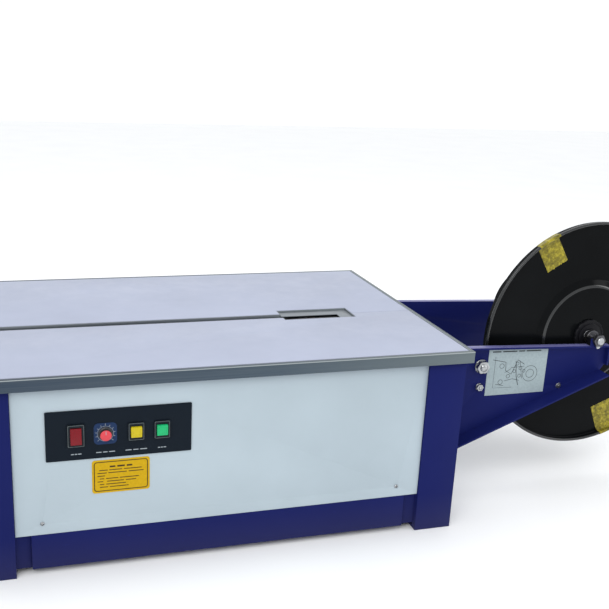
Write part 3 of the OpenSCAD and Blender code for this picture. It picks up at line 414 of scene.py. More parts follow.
# A paler copy of the channel's steel for its floor: a painted highlight.
CHANNEL_FLOOR_HIGHLIGHT = brushed_steel("channel_steel_painted_highlight", (0.42, 0.47, 0.53), 0)
# A lighter, glossier copy of the reel's black enamel for the flange's bead and step corners: a painted highlight.
RIM_HIGHLIGHT_BLACK = gloss_enamel("black_enamel_painted_highlight", (0.012, 0.013, 0.014), 0.4, 0.25)
# A paler navy with scuffs for the arms' upward top lip: a painted highlight.
LIP_NAVY_HIGHLIGHT = powder_coat("navy_lip_painted_highlight", (0.13, 0.13, 0.30), 0.30, 0.10, scuff=0.6)
KNOB_RED = moulded("knob_cap_red", (0.55, 0.03, 0.045), 0.4, coat=0.1)
PRINT_BLACK = paper("print_black", (0.045, 0.028, 0.012))
PRINT_WHITE = paper("print_white", (0.30, 0.34, 0.37))
PRINT_GREY = paper("print_grey", (0.045, 0.055, 0.06))
# Pale plastic for the thin line round each bezel: a painted glint.
BEZEL_GLINT = moulded("painted_glint_plastic", (0.10, 0.125, 0.13), 0.16, coat=0.5)


# ---------------------------------------------------------------- mesh helpers
def finish_piece(obj, body, material, replaced=()):
    """Gives an object its material and body, and hides the CAD nodes that it stands for."""
    obj.data.materials.clear()
    obj.data.materials.append(material)
    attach(obj, body)
    if replaced:
        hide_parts(*replaced)
    return obj


def object_from(bm, name, smooth_angle=35):
    """Makes an object from a bmesh, with faces smooth except across edges sharper than the angle."""
    bmesh.ops.recalc_face_normals(bm, faces=bm.faces)
    limit = math.radians(smooth_angle)
    for face in bm.faces:
        face.smooth = True
    for edge in bm.edges:
        edge.smooth = len(edge.link_faces) == 2 and edge.calc_face_angle(0) < limit
    mesh = bpy.data.meshes.new(name)
    bm.to_mesh(mesh)
    bm.free()
    obj = bpy.data.objects.new(name, mesh)
    bpy.context.scene.collection.objects.link(obj)
    return obj


def add_piece(bm, name, slot, replaced=(), body="machine", material=None, smooth=30):
    """Makes a finished piece from a bmesh, in its slot's material unless another is given."""
    return finish_piece(object_from(bm, name, smooth), body, material or MATERIALS[slot], replaced)


def paint_faces(obj, extra, choose):
    """Adds materials, and picks each face's by number from its centre and normal; 0 is the first one."""
    for material in extra:
        obj.data.materials.append(material)
    for face in obj.data.polygons:
        face.material_index = choose(face.center, face.normal)


def loft(loops, closed=False):
    """Skins point loops of equal length; closed joins the last to the first, or else both get caps."""
    bm = bmesh.new()
    rows = [[bm.verts.new(p) for p in loop] for loop in loops]
    pairs = list(zip(rows, rows[1:])) + ([(rows[-1], rows[0])] if closed else [])
    for low, high in pairs:
        for i in range(len(low)):
            j = (i + 1) % len(low)
            bm.faces.new((low[i], low[j], high[j], high[i]))
    if not closed:
        bm.faces.new(list(reversed(rows[0])))
        bm.faces.new(rows[-1])
    return bm


def ring_xz(cx, cz, y, radii):
    """A loop round (cx, cz) in the plane at y, with one point for each radius."""
    step = 2 * math.pi / len(radii)
    return [(cx + r * math.cos(i * step), y, cz + r * math.sin(i * step)) for i, r in enumerate(radii)]


def rounded_rect(cx, cz, y, w, h, r, steps=5):
    """A loop in an XZ plane at y; w and h are full sizes and r is the corner radius."""
    points = []
    for sx, sz, start in ((1, 1, 0), (-1, 1, 90), (-1, -1, 180), (1, -1, 270)):
        corner_x, corner_z = cx + sx * (w / 2 - r), cz + sz * (h / 2 - r)
        for i in range(steps + 1):
            a = math.radians(start + 90 * i / steps)
            points.append((corner_x + r * math.cos(a), y, corner_z + r * math.sin(a)))
    return points


def lathe(profile, centre, segments=96, closed=True):
    """Turns (radius, y) points about a line along Y through centre."""
    bm = bmesh.new()
    rings = []
    for i in range(segments):
        a = 2 * math.pi * i / segments
        c, s = math.cos(a), math.sin(a)
        ring = []
        for r, t in profile:
            ring.append(bm.verts.new(Vector(centre) + Vector((r * c, t, r * s))))
        rings.append(ring)
    count = len(profile)
    for i in range(segments):
        a, b = rings[i], rings[(i + 1) % segments]
        for k in range(count if closed else count - 1):
            m = (k + 1) % count
            bm.faces.new((a[k], a[m], b[m], b[k]))
    bmesh.ops.remove_doubles(bm, verts=bm.verts, dist=1e-7)
    return bm


def merge(bm, other):
    """Moves the second bmesh into the first."""
    mesh = bpy.data.meshes.new("joined")
    other.to_mesh(mesh)
    other.free()
    bm.from_mesh(mesh)
    bpy.data.meshes.remove(mesh)


def box_mesh(x0, x1, y0, y1, z0, z1, edge):
    """A block with rounded edges."""
    bm = bmesh.new()
    bmesh.ops.create_cube(bm, size=1)
    for v in bm.verts:
        v.co = Vector(((x0 + x1) / 2 + v.co.x * (x1 - x0), (y0 + y1) / 2 + v.co.y * (y1 - y0),
                       (z0 + z1) / 2 + v.co.z * (z1 - z0)))
    bmesh.ops.bevel(bm, geom=list(bm.edges), offset=edge, segments=2, profile=0.5, affect="EDGES")
    return bm


def rounded_copy(node, width, material=None, segments=2):
    """Stands for a CAD node with the same shape, its edges rounded by width."""
    bm = bmesh.new()
    bm.from_mesh(NODES[node].data)
    bmesh.ops.remove_doubles(bm, verts=bm.verts, dist=2e-6)
    bmesh.ops.dissolve_limit(bm, angle_limit=math.radians(0.6), verts=bm.verts, edges=bm.edges)
    mesh = bpy.data.meshes.new(node + "_rounded")
    bm.to_mesh(mesh)
    bm.free()
    obj = bpy.data.objects.new(node + "_rounded", mesh)
    bpy.context.scene.collection.objects.link(obj)
    bevel = obj.modifiers.new("edges", "BEVEL")
    bevel.width = width
    bevel.segments = segments
    bevel.limit_method = "ANGLE"
    bevel.angle_limit = math.radians(28)
    bevel.use_clamp_overlap = True
    applied = bpy.data.meshes.new_from_object(obj.evaluated_get(bpy.context.evaluated_depsgraph_get()))
    bpy.data.objects.remove(obj)
    bm = bmesh.new()
    bm.from_mesh(applied)
    bpy.data.meshes.remove(applied)
    return add_piece(bm, node + "_rounded", SLOT_OF[node], (node,), BODY_OF[node], material, 40)


def dress(node):
    """Gives a CAD node its procedural material."""
    for holder in NODES[node].material_slots:
        holder.material = MATERIALS[SLOT_OF[node]]


def centre_of(node):
    low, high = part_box(node)
    return (low + high) / 2


# ---------------------------------------------------------------- hardware
def hex_head(centre, direction, across, height, dome=0.0):
    """A chamfered hexagon along Y; direction is -1 or 1, the way it stands out from centre."""
    sixth, count = math.pi / 3, 48
    flats = [across / 2 / math.cos(2 * math.pi * i / count % sixth - sixth / 2) for i in range(count)]
    corner = across / 2 / math.cos(sixth / 2)
    chamfer = 0.14 * height
    levels = [(0, corner - 0.4 * MM), (chamfer * 0.6, corner), (height - chamfer, corner),
              (height - chamfer * 0.45, corner * 0.955), (height, across / 2 * 0.92)]
    bm = loft([ring_xz(centre.x, centre.z, centre.y + direction * rise, [min(r, limit) for r in flats])
               for rise, limit in levels])
    if dome:
        profile = [(dome * math.cos(b), direction * (height + 0.55 * dome * math.sin(b)))
                   for b in [math.radians(x) for x in (0, 20, 40, 60, 80, 90)]]
        merge(bm, lathe([(dome, direction * height * 0.6)] + profile, centre, segments=32, closed=False))
    return bm


def washer(centre, direction, radius, thick):
    """A washer along Y with broken outer edges."""
    edge, bore = thick * 0.35, radius * 0.3
    profile = [(radius - edge, 0), (radius, edge), (radius, thick - edge), (radius - edge, thick),
               (bore, thick), (bore, 0)]
    return lathe([(r, direction * t) for r, t in profile], centre, segments=48)


def cross_screw(centre, direction, radius, height):
    """A pan head with a cross recess, along Y."""
    bm = bmesh.new()
    spokes, rings = 48, 12
    slot = radius * 0.16
    tip = bm.verts.new(centre + Vector((0, direction * height * 0.35, 0)))
    previous = None
    for k in range(1, rings + 1):
        share = k / rings
        ring = []
        for i in range(spokes):
            a = 2 * math.pi * i / spokes
            x, z = radius * share * math.cos(a), radius * share * math.sin(a)
            rise = height * math.sqrt(max(0.0, 1 - share ** 2.6))
            if (abs(x) < slot or abs(z) < slot) and share < 0.68:
                rise = height * 0.35
            ring.append(bm.verts.new(centre + Vector((x, direction * rise, z))))
        for i in range(spokes):
            j = (i + 1) % spokes
            if previous is None:
                bm.faces.new((tip, ring[i], ring[j]))
            else:
                bm.faces.new((previous[i], ring[i], ring[j], previous[j]))
        previous = ring
    bm.faces.new(previous)
    return bm


def frame_point(joint):
    """The place of a joint's pin."""
    return Vector(next(j["pos_m"] for j in frame["joints"] if j["name"] == joint))


def rod(centre_x, centre_z, radius, y0, y1, chamfer=0.8 * MM):
    """A turned bar along Y with chamfered ends."""
    profile = [(0, y0), (radius - chamfer, y0), (radius, y0 + chamfer), (radius, y1 - chamfer),
               (radius - chamfer, y1), (0, y1)]
    return lathe(profile, (centre_x, 0, centre_z), segments=64, closed=False)


ARM_T = 4 * MM
ARM_FRONT_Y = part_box("front_reel_arm")[1].y - ARM_T
ARM_REAR_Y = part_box("rear_reel_arm")[0].y + ARM_T
HUB_HOLE = 26.2 * MM
SHEET, BEAD = 2 * MM, 3 * MM        # the reel flanges' sheet, and the radius of their rolled edge
REEL = frame_point("reel_spin")
ROLLER = frame_point("guide_roller_spin")


def guide_shaft_pieces():
    """The two shafts between the arms, with collars, washers, chamfered nuts and domed ends."""
    upper_nut, lower_nut, upper_r, lower_r = 24 * MM, 13 * MM, 8 * MM, 4 * MM
    lower_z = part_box("guide_shafts")[0].z + lower_nut / 2
    roller_low, roller_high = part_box("guide_roller")
    bm = bmesh.new()
    for z, wide, r in ((ROLLER.z, upper_nut, upper_r), (lower_z, lower_nut, lower_r)):
        merge(bm, rod(ROLLER.x, z, r, ARM_FRONT_Y - wide * 0.58, ARM_REAR_Y + wide * 0.58))
        for side, plane in ((-1, ARM_FRONT_Y), (1, ARM_REAR_Y)):
            spot = Vector((ROLLER.x, plane, z))
            merge(bm, washer(spot, side, wide * 0.60, 1.6 * MM))
            merge(bm, hex_head(spot + Vector((0, side * 1.6 * MM, 0)), side, wide, wide * 0.42, r))
    for y in (roller_low.y - 8.5 * MM, roller_high.y + 0.5 * MM):
        ring = [(8 * MM, y), (12.4 * MM, y), (13 * MM, y + 0.6 * MM), (13 * MM, y + 7.4 * MM),
                (12.4 * MM, y + 8 * MM), (8 * MM, y + 8 * MM)]
        merge(bm, lathe(ring, (ROLLER.x, 0, ROLLER.z), segments=48))
    add_piece(bm, "guide_shafts_detailed", "zinc", ("guide_shafts",))


def axle_pieces():
    """The reel's axle, its nuts and spacers, and the saddles' screws."""
    low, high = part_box("reel_axle")
    r = (high.z - low.z) / 2
    bm = rod(REEL.x, REEL.z, r, low.y, high.y, 1.2 * MM)
    add_piece(bm, "reel_axle_turned", "zinc", ("reel_axle",))
    nut_low, nut_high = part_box("axle_nuts")
    bm = bmesh.new()
    tall = 8 * MM
    for side, end in ((-1, nut_low.y), (1, nut_high.y)):
        merge(bm, hex_head(Vector((REEL.x, end - side * tall, REEL.z)), side, 3 * r, tall))
    hub_low, hub_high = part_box("reel_hub")
    for y0, y1 in ((ARM_FRONT_Y + ARM_T + 0.3 * MM, hub_low.y - 0.5 * MM),
                   (hub_high.y + 0.5 * MM, ARM_REAR_Y - ARM_T - 0.3 * MM)):
        outer = r + 7 * MM
        spacer = [(r, y0), (outer - MM, y0), (outer, y0 + MM), (outer, y1 - MM), (outer - MM, y1), (r, y1)]
        merge(bm, lathe(spacer, (REEL.x, 0, REEL.z), segments=48))
    add_piece(bm, "axle_nuts_detailed", "spring_steel", ("axle_nuts",))
    bm = bmesh.new()
    for side, plane in ((-1, ARM_FRONT_Y), (1, ARM_REAR_Y)):
        spot = Vector((REEL.x, plane + side * 12 * MM, REEL.z - 13 * MM))
        merge(bm, hex_head(spot, side, 9 * MM, 5 * MM, 2.5 * MM))
    add_piece(bm, "saddle_screws", "zinc")


# ---------------------------------------------------------------- reel
def smooth_corner(points, radius, steps=4):
    """Rounds the inner corners of an open polyline of (radius, along) points."""
    result = [points[0]]
    for before, here, after in zip(points, points[1:], points[2:]):
        p, a, b = Vector(here), Vector(before), Vector(after)
        cut = min(radius, (a - p).length * 0.45, (b - p).length * 0.45)
        start, stop = p + (a - p).normalized() * cut, p + (b - p).normalized() * cut
        for i in range(steps + 1):
            t = i / steps
            result.append(tuple((1 - t) ** 2 * start + 2 * t * (1 - t) * p + t ** 2 * stop))
    return result + [points[-1]]


def bead_arc(centre_r, centre_t, radius, start, stop, steps=18):
    """Points round a rolled bead, as radius against distance from the flange's inner face."""
    angles = [math.radians(start + (stop - start) * i / steps) for i in range(steps + 1)]
    return [(centre_r + radius * math.cos(a), centre_t + radius * math.sin(a)) for a in angles]


def stepped_profile(outer, depth):
    """Closed section of the front flange: a pressed step inside and a turned-out rim with a rolled bead."""
    step, step_r, flat_r, bend = 9 * MM, 105 * MM, 119 * MM, 3 * MM
    wall = outer - BEAD
    face = [(HUB_HOLE, step + SHEET), (44 * MM, step + SHEET), (step_r + MM, step + SHEET),
            (flat_r + MM, SHEET), (wall - SHEET / 2, SHEET), (wall - SHEET / 2, depth - 2 * BEAD)]
    back = [(wall + SHEET / 2, 0), (flat_r, 0), (step_r, step), (HUB_HOLE, step)]
    return (smooth_corner(face, bend) + bead_arc(wall, depth - BEAD, BEAD, 250.5, -70.5)
            + smooth_corner(back, bend))


def flat_profile(outer, _):
    """Closed section of the rear flange: a flat disc with a rolled bead."""
    wall = outer - BEAD
    face, back = [(HUB_HOLE, SHEET), (wall * 0.6, SHEET)], [(wall * 0.6, 0), (HUB_HOLE, 0)]
    return face + bead_arc(wall, BEAD, BEAD, 199.5, -90) + back


def reel_flange(node, name, profile_of, y_inner, direction):
    """The face is black; the bead and the corners of the step get a lighter, glossier black as a painted
    highlight.
    """
    low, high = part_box(node)
    outer = (high.x - low.x) / 2
    profile = [(r, y_inner + direction * t) for r, t in profile_of(outer, high.y - low.y)]
    bm = lathe(profile, (REEL.x, 0, REEL.z), segments=220)
    flange = add_piece(bm, name, "reel_black", (node,), "reel", smooth=50)
    rim_width, rim_rise = 6.2 * MM, 9 * MM
    corner_low, corner_high, corner_rise = 102 * MM, 108.5 * MM, 8.8 * MM

    def painted_highlight_faces(centre, _):
        r = math.hypot(centre.x - REEL.x, centre.z - REEL.z)
        rise = direction * (centre.y - y_inner)
        return int((r > outer - rim_width and rise > rim_rise)
                   or (corner_low < r < corner_high and rise > corner_rise))

    paint_faces(flange, [RIM_HIGHLIGHT_BLACK], painted_highlight_faces)


def hub_nut():
    """A ring nut with finger scallops; a level is an inset and a rise in mm, and 1 where scallops cut."""
    low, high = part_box("hub_clamp_nut")
    outer, thick = (high.x - low.x) / 2, (high.y - low.y) / MM
    scallops = [1.6 * max(0.0, math.cos(2 * math.pi * i / 12)) ** 3 for i in range(144)]
    levels = [(0.0, thick, 1), (0.0, 1.5, 1), (1.4, 0.0, 1), (5.0, 0.0, 0), (5.4, 0.8, 0)]
    rings = [ring_xz(REEL.x, REEL.z, low.y + rise * MM, [outer - (inset + cut * s) * MM for s in scallops])
             for inset, rise, cut in levels]
    rings += [ring_xz(REEL.x, REEL.z, y, [HUB_HOLE] * len(scallops)) for y in (low.y + 0.8 * MM, high.y)]
    add_piece(loft(rings, closed=True), "hub_ring_nut", "core_black", ("hub_clamp_nut",), "reel", smooth=35)


def hub_end_cap():
    """The turned hub face in front of the flange, with its bush round the axle."""
    face_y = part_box("reel_hub")[0].y
    bore, rim = 8.4, 26.1
    profile = [(bore, -0.2), (14, -0.2), (14.8, 0.6), (24, 0.6), (rim, 2.4), (rim, 6), (bore, 6)]
    bm = lathe([(r * MM, face_y + t * MM) for r, t in profile], (REEL.x, 0, REEL.z), segments=72)
    add_piece(bm, "hub_bush", "machined_steel", body="reel", smooth=35)


def rim_tape(angle, index):
    """A strip of tape stuck on the front flange, bridging its inner corner and folded over its rim."""
    low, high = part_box("front_flange")
    outer = (high.x - low.x) / 2
    lift, half = 0.4 * MM, 25 * MM
    wall = outer - BEAD
    face_y, bead_y = high.y - SHEET - lift, low.y + BEAD
    path = [(outer - 68 * MM + i * 4.0 * MM, face_y) for i in range(14)]
    path += [(wall - 8 * MM, face_y - 0.6 * MM), (wall - 4.5 * MM, face_y - 3.5 * MM),
             (wall - 3.2 * MM, face_y - 7 * MM)]
    flat = len(path)
    for i in range(12):
        a = math.radians(200 - 250 * i / 11)
        path.append((wall + (BEAD + lift) * math.cos(a), bead_y - (BEAD + lift) * math.sin(a)))
    path += [(wall + 1.5 * MM, bead_y + 6 * MM), (wall + 1.4 * MM, high.y - 0.4 * MM)]
    across = 22
    bm = bmesh.new()
    grid = []
    for k, (r, y) in enumerate(path):
        row = []
        for i in range(across + 1):
            t = -half + 2 * half * i / across
            ragged = 2.4 * MM * noise.noise((i * 0.9, index * 5.0, 1.0)) if k == 0 else 0.0
            wrinkle = 0.45 * MM * abs(noise.noise((i * 0.55 + index, k * 0.45, 3.0))) if k < flat else 0.0
            spot_r = math.hypot(r, t) if r < wall - 12 * MM else r
            a = math.radians(angle) + math.atan2(t, r)
            row.append(bm.verts.new((REEL.x + (spot_r + ragged) * math.cos(a), y - wrinkle,
                                     REEL.z + (spot_r + ragged) * math.sin(a))))
        grid.append(row)
    for a, b in zip(grid, grid[1:]):
        for i in range(across):
            bm.faces.new((a[i], a[i + 1], b[i + 1], b[i]))
    tape = object_from(bm, f"rim_tape_{index}", 60)
    skin = tape.modifiers.new("film", "SOLIDIFY")
    skin.thickness = 0.12 * MM
    skin.offset = 1
    finish_piece(tape, "reel", MATERIALS["tape"], ("packing_tape",) if index == 0 else ())


def brake_screw():
    """The bright pan head that holds the brake's leaf spring, in front of the CAD's own head."""
    low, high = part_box("reel_brake")
    spot = Vector((high.x - 10 * MM, low.y + 2.6 * MM, low.z + 7 * MM))
    bm = cross_screw(spot, -1, 4.6 * MM, 3.2 * MM)
    merge(bm, washer(spot, -1, 6 * MM, 0.9 * MM))
    add_piece(bm, "brake_screw_head", "zinc")


def reel_pieces():
    reel_flange("front_flange", "front_flange_pressed", stepped_profile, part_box("front_flange")[1].y, -1)
    reel_flange("rear_flange", "rear_flange_pressed", flat_profile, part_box("rear_flange")[0].y, 1)
    rounded_copy("reel_core", 0.8 * MM)
    rounded_copy("reel_hub", 0.6 * MM)
    hub_nut()
    hub_end_cap()
    for index, angle in enumerate((121, 292)):
        rim_tape(angle, index)


# ---------------------------------------------------------------- controls
FACE_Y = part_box("control_plate")[0].y


def outline_ring(cx, cz, w, h, line, radius, y, thick=0.12 * MM):
    """A printed line round a rectangle of full size w by h, as a thin raised frame."""
    inner_r = max(radius - line, 0.2 * MM)
    outer = [rounded_rect(cx, cz, at, w, h, radius) for at in (y, y - thick)]
    inner = [rounded_rect(cx, cz, at, w - 2 * line, h - 2 * line, inner_r) for at in (y - thick, y)]
    return loft(outer + inner, closed=True)


def bar(x0, x1, z0, z1, y, thick=0.12 * MM):
    """A thin printed strip that stands out from y towards the operator."""
    return box_mesh(x0, x1, y - thick, y, z0, z1, min(0.3 * MM, thick * 0.4))


def push_button(node, tag):
    """A square lens with a bevelled edge and a groove; a step is an inset, a depth and a radius in mm."""
    low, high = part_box(node)
    middle = (low + high) / 2
    steps = [(0, (high.y - low.y) / MM, 1.5), (0, 1.2, 1.5), (0.5, 0.35, 1.6), (1.3, 0, 1.8), (2.6, 0, 1.8),
             (3.1, 0.45, 1.8), (3.6, 0.1, 1.8), (6.0, -0.12, 1.6), (8.4, -0.2, 0.6)]
    loops = []
    for inset, back, r in steps:
        side = high.x - low.x - 2 * inset * MM
        loops.append(rounded_rect(middle.x, middle.z, low.y + back * MM, side, side, r * MM))
    add_piece(loft(loops), tag, SLOT_OF[node], (node,), BODY_OF[node])


def knob():
    """A fluted skirt with a red cap and a white line; a level is an inset, a rise and a depth in mm."""
    low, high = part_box("length_knob")
    spot = frame_point("knob_turn")
    r_base = (high.x - low.x) / 2
    y0 = FACE_Y - 1.1 * MM
    flutes, per_flute = 20, 8
    waves = [0.5 * (1 - math.cos(2 * math.pi * i / per_flute)) for i in range(flutes * per_flute)]
    levels = [(0.0, 0.4, 0), (0.0, 1.0, 0), (1.2, 1.8, 0.2), (2.0, 2.6, 0.9), (2.3, 6.6, 0.9),
              (2.9, 7.4, 0.6), (3.6, 7.8, 0.0)]
    rings = [ring_xz(spot.x, spot.z, y0 - rise * MM, [r_base - (inset + depth * wave) * MM for wave in waves])
             for inset, rise, depth in levels]
    add_piece(loft(rings), "knob_skirt", "knob_plastic", ("length_knob",), "knob", smooth=50)
    cap_r = 9.3
    profile = [(cap_r - 0.6, 7.0), (cap_r, 7.9), (cap_r, 9.3), (cap_r - 0.9, 10.1), (cap_r * 0.5, 10.35),
               (0, 10.4)]
    cap = lathe([(r * MM, y0 - rise * MM) for r, rise in profile], (spot.x, 0, spot.z), 72, closed=False)
    add_piece(cap, "knob_cap", "knob_plastic", (), "knob", KNOB_RED, 40)
    half = 0.5 * MM
    pointer = bar(spot.x - half, spot.x + half, spot.z + 2 * MM, spot.z + 8.4 * MM, y0 - 10.2 * MM, 0.3 * MM)
    add_piece(pointer, "knob_pointer", "label_white", (), "knob", PRINT_WHITE)


def dial_marks():
    """Eleven scale ticks over three quarters of a turn, and a thin ring."""
    spot = frame_point("knob_turn")
    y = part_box("dial_plate")[0].y
    inner, outer, front = 13.1 * MM, 13.6 * MM, y - 0.1 * MM
    bm = lathe([(inner, y), (inner, front), (outer, front), (outer, y)], (spot.x, 0, spot.z))
    for i in range(11):
        a = math.radians(225 - 27 * i)
        long_tick = 4.2 if i % 5 == 0 else 2.8
        tick = bar(13.9 * MM, (13.9 + long_tick) * MM, -0.35 * MM, 0.35 * MM, y, 0.1 * MM)
        bmesh.ops.transform(tick, verts=tick.verts, matrix=Matrix.Translation((spot.x, 0, spot.z))
                            @ Matrix.Rotation(-a, 4, "Y"))
        merge(bm, tick)
    add_piece(bm, "dial_marks", "dial_blue", material=PRINT_WHITE)


def control_marks():
    """Blank legend strips under the controls, and a pale line near each bezel's edge as a painted glint."""
    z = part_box("control_plate")[0].z + 10.5 * MM
    bm = bmesh.new()
    strips = ((frame_point("rocker_tilt").x, 17 * MM), (frame_point("knob_turn").x, 31 * MM),
              (centre_of("reset_button").x, 36 * MM), (centre_of("feed_button").x, 14 * MM))
    for x, w in strips:
        for share0, share1 in ((-0.5, -0.22), (-0.14, 0.1), (0.18, 0.5)):
            merge(bm, bar(x + w * share0, x + w * share1, z - 0.8 * MM, z + 0.8 * MM, FACE_Y))
    add_piece(bm, "legend_strips", "control_black", material=PRINT_WHITE)
    bm = bmesh.new()
    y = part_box("switch_bezels")[0].y
    for node, w, h in (("power_rocker", 26, 38), ("reset_button", 25, 30), ("feed_button", 25, 30)):
        merge(bm, outline_ring(centre_of(node).x, frame_point("knob_turn").z, w * MM, h * MM, 0.5 * MM,
                               1.6 * MM, y, 0.25 * MM))
    add_piece(bm, "bezel_glint_rims", "bezel_plastic", material=BEZEL_GLINT)


def control_pieces():
    rounded_copy("control_plate", 0.35 * MM)
    rounded_copy("switch_bezels", 0.8 * MM, segments=3)
    dress("dial_plate")
    push_button("reset_button", "yellow_lens_button")
    push_button("feed_button", "green_lens_button")
    knob()
    dial_marks()
    control_marks()
    rounded_copy("power_rocker", 0.7 * MM, segments=3)


# ---------------------------------------------------------------- labels
def caution_label():
    """A yellow film with a black border and blank lines in place of wording."""
    dress("caution_label")
    low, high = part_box("caution_label")
    y = low.y
    edge = 3.2 * MM
    middle, size = (low + high) / 2, high - low
    bm = outline_ring(middle.x, middle.z, size.x - 2 * edge, size.z - 2 * edge, 1.5 * MM, 5 * MM, y)
    x0, x1 = low.x + 9 * MM, high.x - 9 * MM
    width = x1 - x0
    for share0, share1 in ((0.26, 0.38), (0.42, 0.58), (0.62, 0.74)):
        merge(bm, bar(x0 + width * share0, x0 + width * share1, high.z - 14.5 * MM, high.z - 11.5 * MM, y))
    rows = [((0.04, 0.22), (0.25, 0.52), (0.56, 0.94)),
            ((0.0, 0.20), (0.23, 0.62), (0.66, 0.98)),
            ((0.0, 0.16),),
            ((0.05, 0.14), (0.18, 0.44), (0.47, 0.88)),
            ((0.0, 0.12), (0.20, 0.56), (0.60, 0.82)),
            ((0.05, 0.14), (0.18, 0.60)),
            ((0.05, 0.22), (0.26, 0.66))]
    for k, row in enumerate(rows):
        z = high.z - (19 + 5.2 * k) * MM
        for a, b in row:
            merge(bm, bar(x0 + width * a, x0 + width * b, z - 0.75 * MM, z + 0.75 * MM, y))
    add_piece(bm, "caution_print", "label_yellow", material=PRINT_BLACK)


def ribbon(points, width, y, thick=0.1 * MM, closed=False):
    """A printed line through XZ points."""
    flat = [Vector((p[0], 0, p[1])) for p in points]
    count = len(flat)
    left, right = [], []
    for i, p in enumerate(flat):
        before = flat[i - 1] if (closed or i > 0) else p
        after = flat[(i + 1) % count] if (closed or i < count - 1) else p
        along = (after - before).normalized()
        side = Vector((-along.z, 0, along.x)) * width / 2
        left.append(p + side)
        right.append(p - side)
    bm = bmesh.new()
    rows = [[bm.verts.new((q.x, y + dy, q.z)) for q in line]
            for line, dy in ((left, 0), (left, -thick), (right, -thick), (right, 0))]
    for a, b in zip(rows, rows[1:] + rows[:1]):
        for i in range(count if closed else count - 1):
            j = (i + 1) % count
            bm.faces.new((a[i], a[j], b[j], b[i]))
    if not closed:
        for i in (0, count - 1):
            bm.faces.new([row[i] for row in rows])
    return bm


def circle_points(cx, cz, r):
    return [(x, z) for x, _, z in ring_xz(cx, cz, 0, [r] * 28)]


def threading_label():
    """A pale sheet with a plain line drawing of a strap's way over rollers, and no wording."""
    dress("threading_label")
    low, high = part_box("threading_label")
    y = low.y
    w, h = high.x - low.x, high.z - low.z

    def at(u, v):
        return low.x + u * w, low.z + v * h - 0.03 * h * u

    bm = bmesh.new()
    line = 0.9 * MM
    for u0, u1 in ((0.06, 0.20), (0.23, 0.47), (0.50, 0.60), (0.63, 0.88)):
        merge(bm, ribbon([at(u0, 0.925), at(u1, 0.925)], 2.6 * MM, y))
    for r in (17, 9):
        merge(bm, ribbon(circle_points(*at(0.73, 0.44), r * MM), line, y, closed=True))
    small = 3.4
    for u, v, r in ((0.24, 0.62, 5.0), (0.36, 0.40, 4.0), (0.24, 0.28, 5.0), (0.50, 0.66, small),
                    (0.56, 0.56, small), (0.46, 0.50, small), (0.55, 0.40, small), (0.62, 0.50, small)):
        merge(bm, ribbon(circle_points(*at(u, v), r * MM), line, y, closed=True))
    strap = [at(0.08, 0.76), at(0.30, 0.70), at(0.31, 0.52), at(0.41, 0.44), at(0.46, 0.60), at(0.50, 0.74),
             at(0.62, 0.64)]
    merge(bm, ribbon(strap, 1.3 * MM, y))
    merge(bm, ribbon([at(0.47, 0.72), at(0.50, 0.40), at(0.545, 0.20)], 1.5 * MM, y))
    merge(bm, ribbon([at(0.12, 0.82), at(0.12, 0.16), at(0.44, 0.16)], line * 0.8, y))
    for u0, v0, u1, v1 in ((0.30, 0.30, 0.44, 0.34), (0.44, 0.34, 0.56, 0.30), (0.40, 0.58, 0.62, 0.60),
                           (0.54, 0.72, 0.60, 0.34), (0.30, 0.48, 0.40, 0.56), (0.16, 0.24, 0.30, 0.20)):
        merge(bm, ribbon([at(u0, v0), at(u1, v1)], line, y))
    add_piece(bm, "threading_print", "label_white", material=PRINT_GREY)


# ---------------------------------------------------------------- cabinet and table
def panel_screw_pieces():
    """Cross-head screws at the lower corners of the front and rear panels."""
    low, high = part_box("panel_screws")
    r = 3.0 * MM
    bm = bmesh.new()
    for side, y in ((-1, low.y + 2.4 * MM), (1, high.y - 2.4 * MM)):
        for x in (low.x + r, high.x - r):
            merge(bm, cross_screw(Vector((x, y, (low.z + high.z) / 2)), side, r * 1.25, 2.4 * MM))
    add_piece(bm, "panel_screw_heads", "zinc", ("panel_screws",))


def table_trim_piece():
    """The edge trim; its short sides are brushed across, and their top faces get a paler steel as a painted
    highlight.
    """
    low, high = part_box("table_trim")
    lip = 7.2 * MM

    def side(c, normal):
        short = min(c.x - low.x, high.x - c.x) < lip and min(c.y - low.y, high.y - c.y) > lip
        # Upward faces of the short sides take the painted highlight.
        return 0 if not short else 2 if normal.z > 0.8 else 1

    paint_faces(rounded_copy("table_trim", 0.5 * MM, TRIM_X), [TRIM_Y, TRIM_TOP_HIGHLIGHT], side)


def channel_piece():
    """The strap channel; its upward floor gets a paler steel as a painted highlight."""
    low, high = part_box("strap_channel")
    paint_faces(rounded_copy("strap_channel", 0.35 * MM), [CHANNEL_FLOOR_HIGHLIGHT],
                lambda c, normal: int(normal.z > 0.8 and c.z < (low.z + high.z) / 2))


def arm_piece(node):
    """A folded arm in navy, with its top lip in a paler, scuffed navy as a painted highlight, and its axle saddle
    in satin black.
    """
    saddle_half, saddle_low, lip_low = 17.5 * MM, REEL.z - 11.5 * MM, REEL.z - 16 * MM

    def region(c, normal):
        if abs(c.x - REEL.x) < saddle_half and c.z > saddle_low:
            return 1
        # Upward faces of the top lip take the painted highlight.
        return 2 if normal.z > 0.8 and c.z > lip_low else 0

    paint_faces(rounded_copy(node, 1.1 * MM), [MATERIALS["core_black"], LIP_NAVY_HIGHLIGHT], region)


